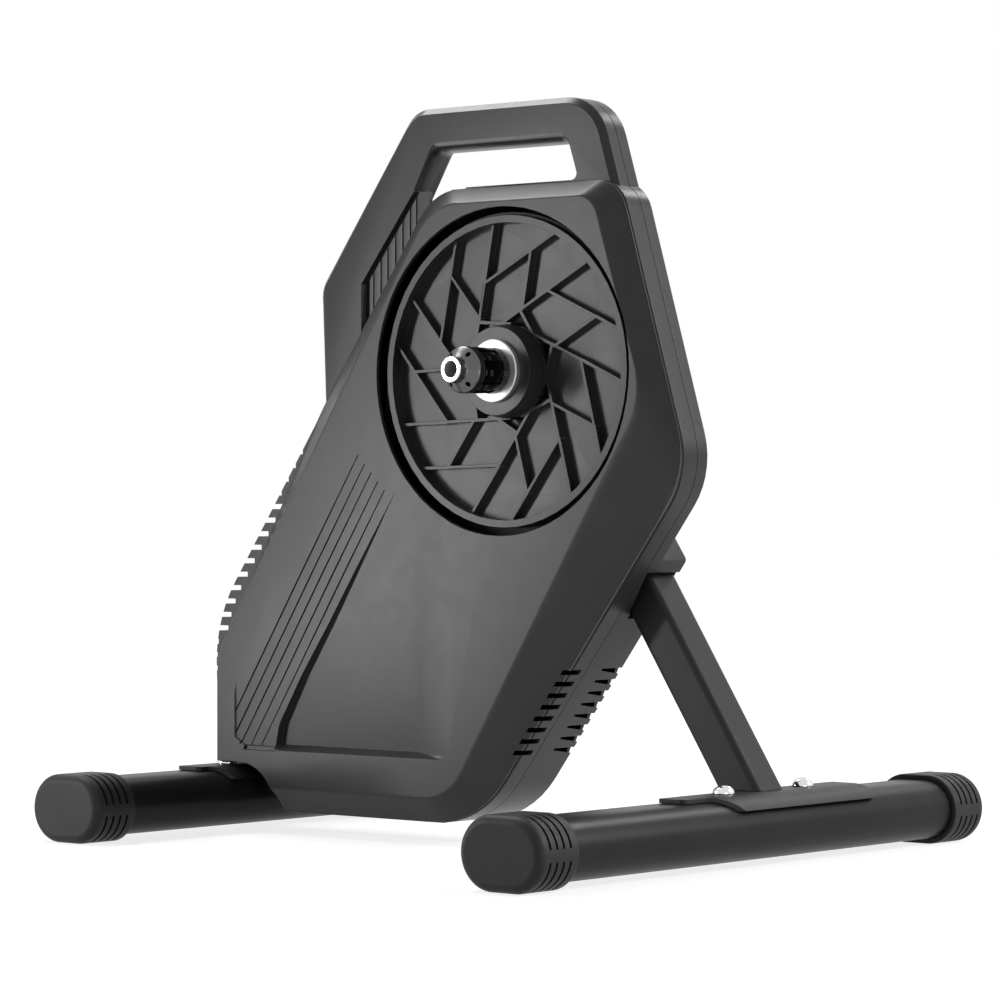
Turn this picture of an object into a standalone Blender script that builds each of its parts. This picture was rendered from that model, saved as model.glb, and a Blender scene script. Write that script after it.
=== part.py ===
"""A direct-drive bicycle trainer as separate pieces, in metres, +Z up.

The joint between the two housing shells is the plane y = 0 and the drive side faces -Y. Outlines of the
body are drawn in the plane of the belt wheel, as (across, up) from the hub axis.
"""

import math

import bmesh
import bpy
from mathutils import Matrix, Vector

MM = 0.001
GAP = 0.3 * MM  # between pieces that touch
CHORD = 0.15  # millimetres by which the straight pieces of an arc may miss it

# Stance
HUB_HEIGHT = 355.4 * MM
FRONT_FOOT_X = -292 * MM
REAR_FOOT_X = 198 * MM
HUB_X = -(FRONT_FOOT_X + REAR_FOOT_X) / 2
FRAME_Y = 30 * MM  # middle plane of the legs
HOUSING_LIFT = 16.4 * MM  # flat bottom of the housing above the floor
LOW = (HOUSING_LIFT - HUB_HEIGHT) / MM  # that bottom in the outlines' own terms

# Foot bars and their caps
TUBE_WIDTH = 64 * MM
TUBE_HEIGHT = 44 * MM
TUBE_WALL = 2.5 * MM
CAP_WALL = 4 * MM
CAP_LENGTH = 41 * MM
CAP_END = 7 * MM
CAP_FILLET = 6.5 * MM
CAP_GROOVE = 2.2 * MM
CAP_GROOVE_PITCH = 7.1 * MM
CAP_GROOVE_GAP = 8 * MM
REAR_FOOT_LENGTH = 532 * MM
FRONT_FOOT_LENGTH = 390 * MM
FOOT_MIDDLE = TUBE_HEIGHT / 2 + CAP_WALL
SADDLE_THICKNESS = 3.2 * MM
SADDLE_REACH = 37.5  # degrees above the middle of the tube where the saddle ends
REAR_SADDLE = (-110 * MM, 100 * MM, 28 * MM, 22 * MM)  # ends from the frame's middle, tongue, widening
FRONT_SADDLE = (-92 * MM, 92 * MM, 12 * MM, 12 * MM)
FOOT_BOLT_SPACING = 96 * MM
FOOT_BOLT_RADIUS = 4 * MM
FOOT_BOLT_HEAD = 8 * MM
FOOT_NUT_RADIUS = 6.5 * MM
FOOT_NUT_HEIGHT = 4 * MM

# Legs, 32 mm square tube
LEG_SIZE = 32 * MM
LEG_WALL = 2.5 * MM
LEG_CORNER = 5 * MM
LEG_TOP = (71 * MM, -125 * MM)  # ends of the middle line of the rear leg
LEG_FOOT = (REAR_FOOT_X + 5.2 * MM, FOOT_MIDDLE - HUB_HEIGHT)
LEG_ROOM = 1.5 * MM
POST_X = -278 * MM
POST_TOP = (LOW + 134) * MM
LEG_BOLT_RADIUS = 4 * MM

# Housing, by depth
COVER_FACE = -30 * MM
SHELL_FRONT = -16.5 * MM
GRIP_HALF = 15.5 * MM
SHELL_REAR = 12 * MM
REAR_COVER_FACE = 26 * MM
BULGE_SIDE = 42 * MM
BULGE_FACE = 54 * MM
COVER_BEVEL = 14  # how far in the faces of the rear cover and the rear housing lie
BULGE_BEVEL = 12
SEAM_EDGE = 0.6  # bevel on both sides of the seam round the front cover
WALL = 3.2 * MM

# Hub, wheel and belt
WHEEL_RADIUS = 116 * MM
OPENING_RADIUS = 122 * MM
RIM_WALL = 5.5 * MM
WHEEL_FRONT = -24.6 * MM
WHEEL_FLOOR = -9 * MM
WHEEL_BACK = -5 * MM
RIB_FRONT = -20.4 * MM
RIB_WIDTH = 2.4 * MM
COLLAR_RADIUS = 34.6 * MM
COLLAR_FRONT = -34 * MM
SECTORS = 7
HUB_RADIUS = 30 * MM  # of the hub behind the wheel's web
HUB_BACK = 2 * MM
AXLE_RADIUS = 8.5 * MM
AXLE_THREAD = 14 * MM
AXLE_FLANGE = 24 * MM
AXLE_FLANGE_FRONT = 2.6 * MM
AXLE_BACK = 30 * MM
AXLE_NUT_BACK = 23 * MM
END_RADIUS = 9.65 * MM
SEAL_RADIUS = 23.3 * MM
SEAL_BORE = 12.5 * MM
AXLE_BORE = 6.2 * MM
BEARING_RADIUS = 17.5 * MM
FREEHUB_RADIUS = 17.15 * MM
FREEHUB_FRONT = -66.7 * MM
FREEHUB_BACK = -38.8 * MM
END_FRONT = -85.3 * MM
END_REAR = 56.7 * MM
BELT_THICKNESS = 2 * MM
BELT_FRONT = -19.5 * MM
BELT_BACK = -5.5 * MM
PULLEY_RADIUS = 17 * MM
FLYWHEEL_X = -125 * MM
FLYWHEEL_Z = (LOW + 124) * MM
FLYWHEEL_RADIUS = 98.5 * MM
FLYWHEEL_FRONT = 17 * MM
FLYWHEEL_BACK = 45 * MM
SHAFT_RADIUS = 7.5 * MM
FLYWHEEL_BEARING = 16 * MM
PLATE_FRONT = 5.7 * MM
PLATE_BACK = 13.7 * MM
IDLER_RADIUS = 14 * MM

# Outlines, each corner as (across, up, corner radius) in millimetres from the hub axis
BODY = (
    (-75.1, 138.2, 48), (104.4, 138.2, 28), (167.3, -75.9, 60), (-30, LOW, 85), (-301, LOW, 4),
    (-307, LOW + 148, 110),
)
COVER_BASE = (
    (-75.1, 138.2, 48), (104.4, 138.2, 28), (167.3, -75.9, 60), (-30, LOW, 85), (-301, LOW, 4),
    (-301, LOW + 120, 60), (-190, -25, 400),
)
COVER_TOP = (
    (-66.8, 126.5, 48), (88, 126.5, 20), (135.3, -23.5, 58), (-50, LOW + 19, 45), (-291.5, LOW + 19, 4),
    (-291.5, LOW + 123, 60), (-150, 1, 400),
)
GRIP = (
    (-195.5, 68.9, 20), (-98.6, 200.9, 25), (78.7, 200.9, 40), (105.2, 114, 2), (40, 60, 2), (-150, -90, 2),
    (-189, -90, 2),
)
GRIP_EDGE = 4.6
FRONT_HOLE = (
    (-97.8, 138.5, 1), (-78, 168, 10), (52, 168, 10), (63.6, 139.4, 5), (-45, 139.4, 1), (-52, 124, 1),
    (-84.5, 124, 1),
    (-84.5, 138.5, 1),
)
HOLE_NOTCH = ((-107.5, 124, 0), (-95.1, 142.5, 0), (-60, 142.5, 0), (-60, 124, 0))  # behind the recess
HOLE_NOTCH_FRONT = -8 * MM
REAR_HOLE = ((-112.8, 124, 5), (-81.2, 168, 10), (52, 168, 10), (69.8, 124, 5))
GRIP_ROUNDING = 7.2  # the underside of the grip rises this far towards its faces
GRIP_ROUNDING_DEPTH = 10 * MM
RECESS = ((-151, 25, 0), (-151, 70.5, 0), (-96.6, 139.4, 0), (-96.6, 141, 0), (-60, 141, 0), (-60, 25, 0))
RECESS_DEPTH = 4 * MM
SLAT_GAPS = ((-150.7, 5), (-142.3, 1.5), (-134.7, 1.5), (-127.7, 1.5), (-119.7, 1.5), (-112.3, 1.5),
             (-104.7, 1.5),
             (-98.3, 1.5))
SLAT_GAP_DEPTH = 6.5 * MM
SLAT_GAP_LIP = 0.3


def across_at(first, second, up):
    """Across position, at a height, of the straight line through two corners."""
    return first[0] + (up - first[1]) * (second[0] - first[0]) / (second[1] - first[1])


HOOD_LOW = -139.5
HOOD_LEFT = -18
BULGE = (
    (85, -88, 14), (across_at(BODY[2], BODY[3], HOOD_LOW), HOOD_LOW, 3), (-30, LOW, 85), (-301, LOW, 4),
    (-307, LOW + 148, 110), (across_at(BODY[5], BODY[0], HOOD_LEFT), HOOD_LEFT, 2), (-60, -112, 90),
)
ARCH_TOP = (FOOT_MIDDLE + TUBE_HEIGHT / 2 + SADDLE_THICKNESS + GAP + 2.9 * MM - HUB_HEIGHT) / MM
ARCH_RIGHT = (FRONT_FOOT_X + TUBE_WIDTH / 2) / MM + 31
FOOT_ARCH = ((-320, ARCH_TOP, 0), (ARCH_RIGHT, ARCH_TOP, 38), (ARCH_RIGHT, LOW - 11, 0), (-320, LOW - 11, 0))
PLATE = (
    (-40, 45, 20), (40, 45, 20), (97, -148, 12), (-12, LOW + 35, 20), (-213, LOW + 23, 12),
    (-220, LOW + 47, 10),
    (-287, LOW + 51, 8), (-287, LOW + 144, 20), (-225, LOW + 227, 20),
)
PANEL_TOP = -86
PANEL_LOW = LOW + 53
PANEL_DEPTH = 8
PAD_TOP = -152
PAD_DEPTH = 1.6
PAD_GROOVES = 5
PAD_GROOVE_SLOPE = 56.8
PAD_GROOVE_STEP = 6.75
PAD_GROOVE_TOP = (-141, -61)


def panel_up(share):
    return PANEL_TOP + (PANEL_LOW - PANEL_TOP) * share


PAD_EDGE = ((-225, panel_up(0.92), 15), (-200, panel_up(0.72), 40), (-171.5, panel_up(0.52), 40),
            (-101, -86, 3))
PANEL_FACE = ((-45, -80, 2), (-45, LOW + 48, 12), (-230, LOW + 48, 3), *PAD_EDGE, (-97, -80, 2))
PANEL_FLOOR = ((-50, -80, 2), (-80, PANEL_LOW, 12), (-229, PANEL_LOW, 3), *PAD_EDGE, (-97, -80, 2))
PAD_INNER = ((-143, panel_up(0.32), 0), (-169, panel_up(0.52), 0), (-197.5, panel_up(0.72), 0),
             (-222.5, panel_up(0.92), 0), (-227, LOW + 51, 0))
PAD_FACE = PAD_INNER + ((-262, LOW + 51, 0), (-273, LOW + 57, 0), (-273, panel_up(0.82), 0),
                        (-271, panel_up(0.72), 0),
                        (-264, panel_up(0.62), 0), (-256, panel_up(0.52), 0), (-225, panel_up(0.32), 0))
PAD_FLOOR = PAD_INNER + ((-261, LOW + 52, 0), (-271, LOW + 58, 0), (-271, panel_up(0.82), 0),
                         (-257, panel_up(0.72), 0),
                         (-248, panel_up(0.62), 0), (-243, panel_up(0.52), 0), (-225, panel_up(0.32), 0))


def clear_scene():
    for old in list(bpy.data.objects):
        bpy.data.objects.remove(old)


def material(name, colour, roughness, metallic=0.0):
    made = bpy.data.materials.new(name)
    made.use_nodes = True
    shader = made.node_tree.nodes["Principled BSDF"]
    shader.inputs["Base Color"].default_value = (*colour, 1)
    shader.inputs["Roughness"].default_value = roughness
    shader.inputs["Metallic"].default_value = metallic
    return made


def arc_counts(corners):
    """How many straight pieces each rounded corner takes."""
    counts = []
    for i, (x, z, radius) in enumerate(corners):
        back = Vector(corners[i - 1][:2]) - Vector((x, z))
        ahead = Vector(corners[(i + 1) % len(corners)][:2]) - Vector((x, z))
        step = 2 * math.acos(1 - CHORD / max(radius, 2 * CHORD))
        counts.append(max(2, math.ceil((math.pi - back.angle(ahead)) / step)))
    return counts


def rounded(corners, counts=None, scale=MM):
    """The outline with each corner (across, up, radius) turned into an arc of straight pieces."""
    counts = counts or arc_counts(corners)
    points = []
    for i, (x, z, radius) in enumerate(corners):
        here = Vector((x, z))
        if radius == 0:
            points.append(here * scale)
            continue
        back = (Vector(corners[i - 1][:2]) - here).normalized()
        ahead = (Vector(corners[(i + 1) % len(corners)][:2]) - here).normalized()
        half = back.angle(ahead) / 2
        centre = here + (back + ahead).normalized() * (radius / math.sin(half))
        start = here + back * (radius / math.tan(half)) - centre
        sweep = (math.pi - 2 * half) * (-1 if back.x * ahead.y - back.y * ahead.x > 0 else 1)
        for k in range(counts[i] + 1):
            turn = sweep * k / counts[i]
            cos, sin = math.cos(turn), math.sin(turn)
            points.append((centre + Vector((start.x * cos - start.y * sin,
                                            start.x * sin + start.y * cos))) * scale)
    return points


def inset(corners, distance):
    """The same corners moved inwards by a distance in millimetres, or outwards where it is negative."""
    count = len(corners)
    area = sum(corners[i - 1][0] * corners[i][1] - corners[i][0] * corners[i - 1][1] for i in range(count))
    side = 1 if area > 0 else -1
    moved = []
    for i, (x, z, radius) in enumerate(corners):
        here = Vector((x, z))
        into = (here - Vector(corners[i - 1][:2])).normalized()
        out = (Vector(corners[(i + 1) % count][:2]) - here).normalized()
        first, second = Vector((-into.y, into.x)) * side, Vector((-out.y, out.x)) * side
        middle = (first + second).normalized()
        step = middle * (distance / middle.dot(first))
        convex = (into.x * out.y - into.y * out.x) * side > 0
        if radius:
            radius = max(radius - distance if convex else radius + distance, 0.5)
        moved.append((x + step.x, z + step.y, radius))
    return tuple(moved)


def offset(corners, distance):
    """The rounded outline moved inwards, in as many pieces as it has where it is."""
    return rounded(inset(corners, distance), arc_counts(corners))


def circle(radius, x=0.0, z=0.0, steps=48):
    return [
        Vector((x + radius * math.cos(math.tau * k / steps), z + radius * math.sin(math.tau * k / steps)))
        for k in range(steps)
    ]


def stadium(width, height, x, z, arcs=6):
    """An outline with half-round ends, wider than it is high."""
    radius = height / 2
    side = width / 2 - radius
    points = []
    for centre, start in ((side, -90), (-side, 90)):
        for k in range(arcs + 1):
            turn = math.radians(start + 180 * k / arcs)
            points.append(Vector((x + centre + radius * math.cos(turn), z + radius * math.sin(turn))))
    return points


def loft(rings):
    """A closed solid through rings of the same number of points, capped at both ends."""
    bm = bmesh.new()
    rows = [[bm.verts.new(point) for point in ring] for ring in rings]
    for low, high in zip(rows, rows[1:]):
        for i in range(len(low)):
            bm.faces.new((low[i - 1], low[i], high[i], high[i - 1]))
    bmesh.ops.connect_verts_nonplanar(bm, angle_limit=0.001, faces=bm.faces)
    bm.faces.new(rows[0])
    bm.faces.new(rows[-1])
    bmesh.ops.recalc_face_normals(bm, faces=bm.faces)
    return bm


def at_hub(outline, y):
    """Points (across, up) from the hub axis, placed in the part's frame at a depth."""
    return [Vector((HUB_X + point[0], y, HUB_HEIGHT + point[1])) for point in outline]


def prism(outline, front, back):
    return loft([at_hub(outline, front), at_hub(outline, back)])


def floor_prism(outline, front, back):
    """Like prism, for outlines drawn up from the floor and across from the part's middle."""
    return loft([[Vector((x, y, z)) for x, z in outline] for y in (front, back)])


def turned(profile, x=0.0, z=0.0, steps=32, ring=True):
    """A solid turned about an axis along Y, from (radius, y) points. A ring has a bore."""
    bm = bmesh.new()
    points = [bm.verts.new((HUB_X + x + radius, y, HUB_HEIGHT + z)) for radius, y in profile]
    lines = [bm.edges.new(pair) for pair in zip(points, points[1:])]
    if ring:
        lines.append(bm.edges.new((points[-1], points[0])))
    bmesh.ops.spin(
        bm, geom=points + lines, cent=(HUB_X + x, 0, HUB_HEIGHT + z), axis=(0, 1, 0), angle=math.tau,
        steps=steps, use_merge=True,
    )
    bmesh.ops.remove_doubles(bm, verts=bm.verts, dist=0.001 * MM)
    bmesh.ops.recalc_face_normals(bm, faces=bm.faces)
    return bm


def upright(profile, x, y, steps=20):
    """A solid turned about a vertical axis, from (radius, height above the floor) points."""
    bm = bmesh.new()
    points = [bm.verts.new((x + radius, y, height)) for radius, height in profile]
    lines = [bm.edges.new(pair) for pair in zip(points, points[1:])]
    bmesh.ops.spin(
        bm, geom=points + lines, cent=(x, y, 0), axis=(0, 0, 1), angle=math.tau, steps=steps, use_merge=True
    )
    bmesh.ops.remove_doubles(bm, verts=bm.verts, dist=0.001 * MM)
    bmesh.ops.recalc_face_normals(bm, faces=bm.faces)
    return bm


def box(low, high):
    return loft(
        [[Vector((x, y, z)) for x, y in ((low[0], low[1]), (high[0], low[1]), (high[0], high[1]),
                                         (low[0], high[1]))]
         for z in (low[2], high[2])]
    )


def hub_box(low, high):
    """A box from millimetres across and up from the hub, and metres in depth: (across, y, up)."""
    return box(
        (HUB_X + low[0] * MM, low[1], HUB_HEIGHT + low[2] * MM),
        (HUB_X + high[0] * MM, high[1], HUB_HEIGHT + high[2] * MM),
    )


def solid(name, bm, finish):
    mesh = bpy.data.meshes.new(name)
    bm.to_mesh(mesh)
    bm.free()
    made = bpy.data.objects.new(name, mesh)
    bpy.context.scene.collection.objects.link(made)
    made.data.materials.append(finish)
    return made


def combine(target, tool, operation="DIFFERENCE"):
    """Applies a Boolean with a bmesh or an object, which is then removed."""
    if isinstance(tool, bmesh.types.BMesh):
        tool = solid("tool", tool, target.data.materials[0])
    step = target.modifiers.new("cut", "BOOLEAN")
    step.operation = operation
    step.object = tool
    bpy.context.view_layer.update()
    result = bpy.data.meshes.new_from_object(target.evaluated_get(bpy.context.evaluated_depsgraph_get()))
    target.modifiers.clear()
    old = target.data
    target.data = result
    bpy.data.meshes.remove(old)
    spent = tool.data
    bpy.data.objects.remove(tool)
    bpy.data.meshes.remove(spent)
    return target


def hang_on(made, x, y, z):
    """Puts the object's origin on its joint's axis."""
    place = Vector((HUB_X + x, y, HUB_HEIGHT + z))
    made.data.transform(Matrix.Translation(-place))
    made.location = place
    return made


def smooth_all():
    for made in bpy.data.objects:
        made.data.shade_smooth()
        made.data.set_sharp_from_angle(angle=math.radians(35))


GREY_PLASTIC = (0.075, 0.075, 0.078)


def make_materials():
    return {
        "housing": material("housing plastic", GREY_PLASTIC, 0.55),
        "cover": material("cover plastic", (0.095, 0.095, 0.098), 0.5),
        "wheel": material("wheel casting", (0.16, 0.16, 0.165), 0.45),
        "steel": material("black painted steel", (0.012, 0.012, 0.013), 0.3),
        "bright": material("bright steel", (0.75, 0.75, 0.76), 0.2, 1.0),
        "dark": material("black anodised alloy", (0.02, 0.02, 0.022), 0.3, 0.6),
        "rubber": material("black rubber", (0.02, 0.02, 0.02), 0.7),
        "iron": material("flywheel iron", (0.3, 0.3, 0.31), 0.4, 1.0),
        "copper": material("copper winding", (0.7, 0.32, 0.16), 0.35, 1.0),
        "board": material("circuit board", (0.02, 0.16, 0.06), 0.5),
        "lens": material("light lens", (0.6, 0.65, 0.7), 0.2),
    }


def right_wall(up):
    """Across position of the straight lower right wall of the housing, in millimetres."""
    return across_at(BODY[2], BODY[3], up)


def left_wall(up):
    """Across position of the long sloping left wall of the housing, in millimetres."""
    return across_at(BODY[5], BODY[0], up)


def left_edge(up):
    """Across position of the left side of the housing at a height, its rounding included, in millimetres."""
    points = [point / MM for point in rounded(BODY)]
    pairs = zip(points, points[1:] + points[:1])
    crossed = [(low, high) for low, high in pairs if (low.y - up) * (high.y - up) < 0]
    return min(across_at(low, high, up) for low, high in crossed)


POCKET_TOP = -148.5
POCKET_LOW = -178.5
POCKET_DEPTH = 9.5
POCKET_START = (3 * MM, 11 * MM)  # front end of the pocket at its upper and its lower edge
POCKET_FULL = 14 * MM
VENT_TOP = LOW + 117
VENT_PITCH = 8.7
VENT_COUNT = 8
VENT_HEIGHT = 3.5
VENT_FLARE = 0.13  # how fast the rear vents open towards the back
REAR_VENT_START = 18.6 * MM
FIN_TOP = LOW + 238.5
FIN_PITCH = 10.7
FIN_COUNT = 10
FIN_GAP = 4
FIN_DEPTH = 10
NOTCH_COUNT = 4  # shallow grooves above and below the fins
NOTCH_DEPTH = 1.6
FIN_WALL = 14


def cut_vents(target, front, back):
    """Eight level slots through the lower right wall."""
    for k in range(VENT_COUNT):
        up = VENT_TOP - k * VENT_PITCH
        wall = right_wall(up)
        combine(target, hub_box((wall - 8, front, up - VENT_HEIGHT / 2),
                                (wall + 12, back, up + VENT_HEIGHT / 2)))


def cut_rear_vents(target):
    """The same slots behind the seam, thin in front and open at the back."""
    for k in range(VENT_COUNT):
        top = VENT_TOP - k * VENT_PITCH + VENT_HEIGHT / 2
        wall = right_wall(top)
        rings = []
        for y in (REAR_VENT_START, BULGE_FACE + MM):
            low = top - 1.5 - VENT_FLARE * (y - REAR_VENT_START) / MM
            corners = ((wall - 8, top), (wall + 12, top), (wall + 12, low), (wall - 8, low))
            rings.append(at_hub([Vector(corner) * MM for corner in corners], y))
        combine(target, loft(rings))


def cut_fins(target, front, back):
    """Level grooves across the left wall, deep in the middle and shallow above and below."""
    for k in range(-NOTCH_COUNT, FIN_COUNT + NOTCH_COUNT):
        up = FIN_TOP - k * FIN_PITCH
        deep = FIN_DEPTH if 0 <= k < FIN_COUNT else NOTCH_DEPTH
        wall = left_edge(up)
        combine(target, hub_box((wall - 30, front, up - FIN_GAP / 2), (wall + deep, back, up + FIN_GAP / 2)))


def body_space(front, back):
    return solid("space", prism(offset(BODY, WALL / MM), front, back), MATERIALS["housing"])


def keep_arch(space, front, back):
    """Leaves the wall over the front foot out of an inner space."""
    return combine(space, prism(offset(FOOT_ARCH, -WALL / MM), front, back))


def keep_fins(space, front, back):
    """Leaves the thick wall behind the fins out of an inner space."""
    high, low = FIN_TOP + 54, LOW + 77
    thick = [(left_wall(high) - 20, high), (left_wall(high) + 6, high),
             (left_wall(high - 12) + FIN_WALL, high - 12),
             (left_wall(LOW + 154) + FIN_WALL, LOW + 154), (-289, LOW + 136), (-297, LOW + 127), (-297, low),
             (-340, low), (-340, LOW + 149)]
    return combine(space, prism([Vector(point) * MM for point in thick], front, back))


def grip_shape(face, seam):
    """Half of the grip, with a 45 degree edge at its face, from its face to the seam."""
    step = GRIP_EDGE * MM * (1 if seam > face else -1)
    edge, outline = offset(GRIP, GRIP_EDGE), rounded(GRIP)
    return loft([at_hub(edge, face), at_hub(outline, face + step), at_hub(outline, seam)])


def raised(hole, rise):
    """The hand hole's corners with its upper edge moved up."""
    top = max(up for _, up, _ in hole)
    return tuple((x, up + rise if up == top else up, radius) for x, up, radius in hole)


def hand_hole(hole, face, seam):
    """The cutter for half of the hand hole: its upper edge curves up towards the face of the grip."""
    counts = arc_counts(hole)
    out = 1 if face > seam else -1
    rings = [at_hub(rounded(raised(hole, GRIP_ROUNDING), counts), face + out * MM)]
    for degrees in (0, 30, 60, 90):
        turn = math.radians(degrees)
        lifted = raised(hole, GRIP_ROUNDING * (1 - math.sin(turn)))
        rings.append(at_hub(rounded(lifted, counts),
                            face - out * GRIP_ROUNDING_DEPTH * (1 - math.cos(turn))))
    return loft(rings + [at_hub(rounded(hole, counts), seam - out * MM)])


def grip_void(hole, face, seam):
    """The hollow in half of the grip, clear of the body and of the hand hole."""
    out = 1 if face > seam else -1
    low, high = sorted((face - out * WALL, seam - out * MM))
    space = solid("void", prism(offset(GRIP, WALL / MM), low, high), MATERIALS["housing"])
    combine(space, prism(offset(BODY, -WALL / MM / 2), low - MM, high + MM))
    return combine(space, prism(offset(raised(hole, GRIP_ROUNDING), -WALL / MM), low - MM, high + MM))


def half_shell(name, ring, edge, grip, seam, space, void):
    """One half of the body: the outer wall from ring to seam, bevelled in front, and its half of the grip."""
    counts = arc_counts(BODY)
    outline = rounded(BODY, counts)
    rings = [at_hub(outline, ring), at_hub(outline, seam)]
    if edge:
        rings[0] = at_hub(outline, ring + edge * MM)
        rings.insert(0, at_hub(offset(BODY, edge), ring))
    shell = solid(name, loft(rings), MATERIALS["housing"])
    combine(shell, grip, "UNION")
    combine(shell, space)
    return combine(shell, void)


def slatted_recess(grip):
    """The shallow recess with upright slots on the left of the front half of the grip."""
    combine(grip, prism(rounded(RECESS), -GRIP_HALF - MM, -GRIP_HALF + RECESS_DEPTH))
    start, end = RECESS[1], RECESS[2]
    low = RECESS[0][1] + 1
    for left, width in SLAT_GAPS:
        right = left + width
        rise = (end[1] - start[1]) / (end[0] - start[0])
        tops = [start[1] + rise * (across - start[0]) - SLAT_GAP_LIP for across in (right, left)]
        corners = ((left, low), (right, low), (right, tops[0]), (left, tops[1]))
        combine(grip, prism([Vector(corner) * MM for corner in corners], -GRIP_HALF - MM,
                            -GRIP_HALF + SLAT_GAP_DEPTH))
    return grip


def bolt_relief(target):
    """Room above the near bolt of the front foot, whose dome stands under the housing."""
    half = FOOT_BOLT_HEAD + MM
    x, y = HUB_X + FRONT_FOOT_X, FRAME_Y - FOOT_BOLT_SPACING / 2
    top = FOOT_MIDDLE + TUBE_HEIGHT / 2 + SADDLE_THICKNESS + FOOT_BOLT_HEAD
    return combine(target, upright([(0, HOUSING_LIFT - MM), (half, HOUSING_LIFT - MM), (half, top),
                                    (0, top)], x, y, 16))


def make_front_shell():
    seam = -GAP / 2
    space = body_space(SHELL_FRONT + WALL, MM)
    combine(space, prism(offset(COVER_BASE, WALL / MM + 1), SHELL_FRONT - MM, SHELL_FRONT + WALL + MM),
            "UNION")
    keep_arch(space, SHELL_FRONT - 2 * MM, 2 * MM)
    keep_fins(space, SHELL_FRONT - 2 * MM, 2 * MM)
    grip = solid("grip", grip_shape(-GRIP_HALF, seam), MATERIALS["housing"])
    combine(grip, hand_hole(FRONT_HOLE, -GRIP_HALF, seam))
    combine(grip, prism(rounded(HOLE_NOTCH), HOLE_NOTCH_FRONT, MM))
    slatted_recess(grip)
    void = grip_void(FRONT_HOLE, -GRIP_HALF, seam)
    combine(void, prism(offset(HOLE_NOTCH, -WALL / MM), -GRIP_HALF, 2 * MM))
    behind = -GRIP_HALF + SLAT_GAP_DEPTH + 2 * MM
    combine(void, prism(offset(RECESS, -WALL / MM), -GRIP_HALF, behind))
    shell = half_shell("front_shell", SHELL_FRONT, SEAM_EDGE, grip, seam, space, void)
    combine(shell, prism(rounded(FOOT_ARCH), SHELL_FRONT - MM, MM))
    cut_fins(shell, SHELL_FRONT - MM, MM)
    bolt_relief(shell)
    cut_vents(shell, SHELL_FRONT - MM, -6 * MM)
    return shell


def leg_direction():
    return (Vector(LEG_FOOT) - Vector(LEG_TOP)).normalized()


def leg_outline(margin=0.0):
    """The rear leg seen from the side, with a margin all round, from inside the housing down to the foot."""
    along = leg_direction()
    half = Vector((-along.y, along.x)) * (LEG_SIZE / 2 + margin)
    start, end = Vector(LEG_TOP) - along * margin, Vector(LEG_FOOT)
    return [start + half, end + half, end - half, start - half]


def make_rear_shell():
    seam = GAP / 2
    grip = solid("grip", grip_shape(GRIP_HALF, seam), MATERIALS["housing"])
    combine(grip, hand_hole(REAR_HOLE, GRIP_HALF, seam))
    combine(grip, prism(offset(BODY, -GAP / MM), SHELL_REAR - 0.4 * MM, GRIP_HALF + MM))
    void = grip_void(REAR_HOLE, GRIP_HALF, seam)
    shell = half_shell("rear_shell", SHELL_REAR, 0, grip, seam, body_space(-MM, GRIP_HALF + MM), void)
    return combine(shell, prism(offset(BULGE, -GAP / MM), -MM, GRIP_HALF + MM))


def cover_rings(depths, shrink=0.0):
    """Rings from the base of a cover to its face: each depth comes with a share of the way in."""
    counts = arc_counts(COVER_BASE)
    base, top = rounded(inset(COVER_BASE, shrink), counts), rounded(inset(COVER_TOP, shrink), counts)
    return [at_hub([low.lerp(high, share) for low, high in zip(base, top)], y) for y, share in depths]


def leaning(outline, top, low, depth):
    """An outline on a plane that leans back from the cover's face, from no depth at top to a depth at low."""
    return [
        Vector((HUB_X + p.x, COVER_FACE + depth * MM * (top - p.y / MM) / (top - low), HUB_HEIGHT + p.y))
        for p in outline
    ]


def sink_panel(cover):
    """The sunk panel, the pad beside it that leans back a little, and the slot under the pad."""
    counts = arc_counts(PANEL_FACE)
    before = COVER_FACE - MM
    backing = rounded(inset(PANEL_FACE, -WALL / MM), counts)
    behind = [point + Vector((0, WALL, 0)) for point in leaning(backing, PANEL_TOP, PANEL_LOW, PANEL_DEPTH)]
    combine(cover, loft([at_hub(backing, COVER_FACE + MM), behind]), "UNION")
    floor = leaning(rounded(PANEL_FLOOR, counts), PANEL_TOP, PANEL_LOW, PANEL_DEPTH)
    combine(cover, loft([at_hub(rounded(PANEL_FACE, counts), before), floor]))
    floor = leaning(rounded(PAD_FLOOR), PAD_TOP, PANEL_LOW, PAD_DEPTH)
    combine(cover, loft([at_hub(rounded(PAD_FACE), before), floor]))
    return combine(cover, hub_box((-262, before, LOW + 48), (-229, COVER_FACE + 2.2 * MM, LOW + 51.5)))


def groove_pad(cover):
    """Thin slanted grooves across the pad, from the face above it to its left and lower edges."""
    slope = math.radians(PAD_GROOVE_SLOPE)
    run = Vector((math.cos(slope), math.sin(slope)))
    half = Vector((math.sin(slope), -math.cos(slope))) * 0.5
    for k in range(PAD_GROOVES):
        top = Vector(PAD_GROOVE_TOP) + Vector((PAD_GROOVE_STEP, -PAD_GROOVE_STEP)) * k
        length = min((top.x + 272) / run.x, (top.y - LOW - 52) / run.y)
        low = top - run * length
        outline = [point * MM for point in (low - half, low + half, top + half, top - half)]
        floor = [point + Vector((0, 0.8 * MM, 0)) for point in leaning(outline, top.y, PANEL_LOW, PAD_DEPTH)]
        combine(cover, loft([at_hub(outline, COVER_FACE - MM), floor]))
    return cover


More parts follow.
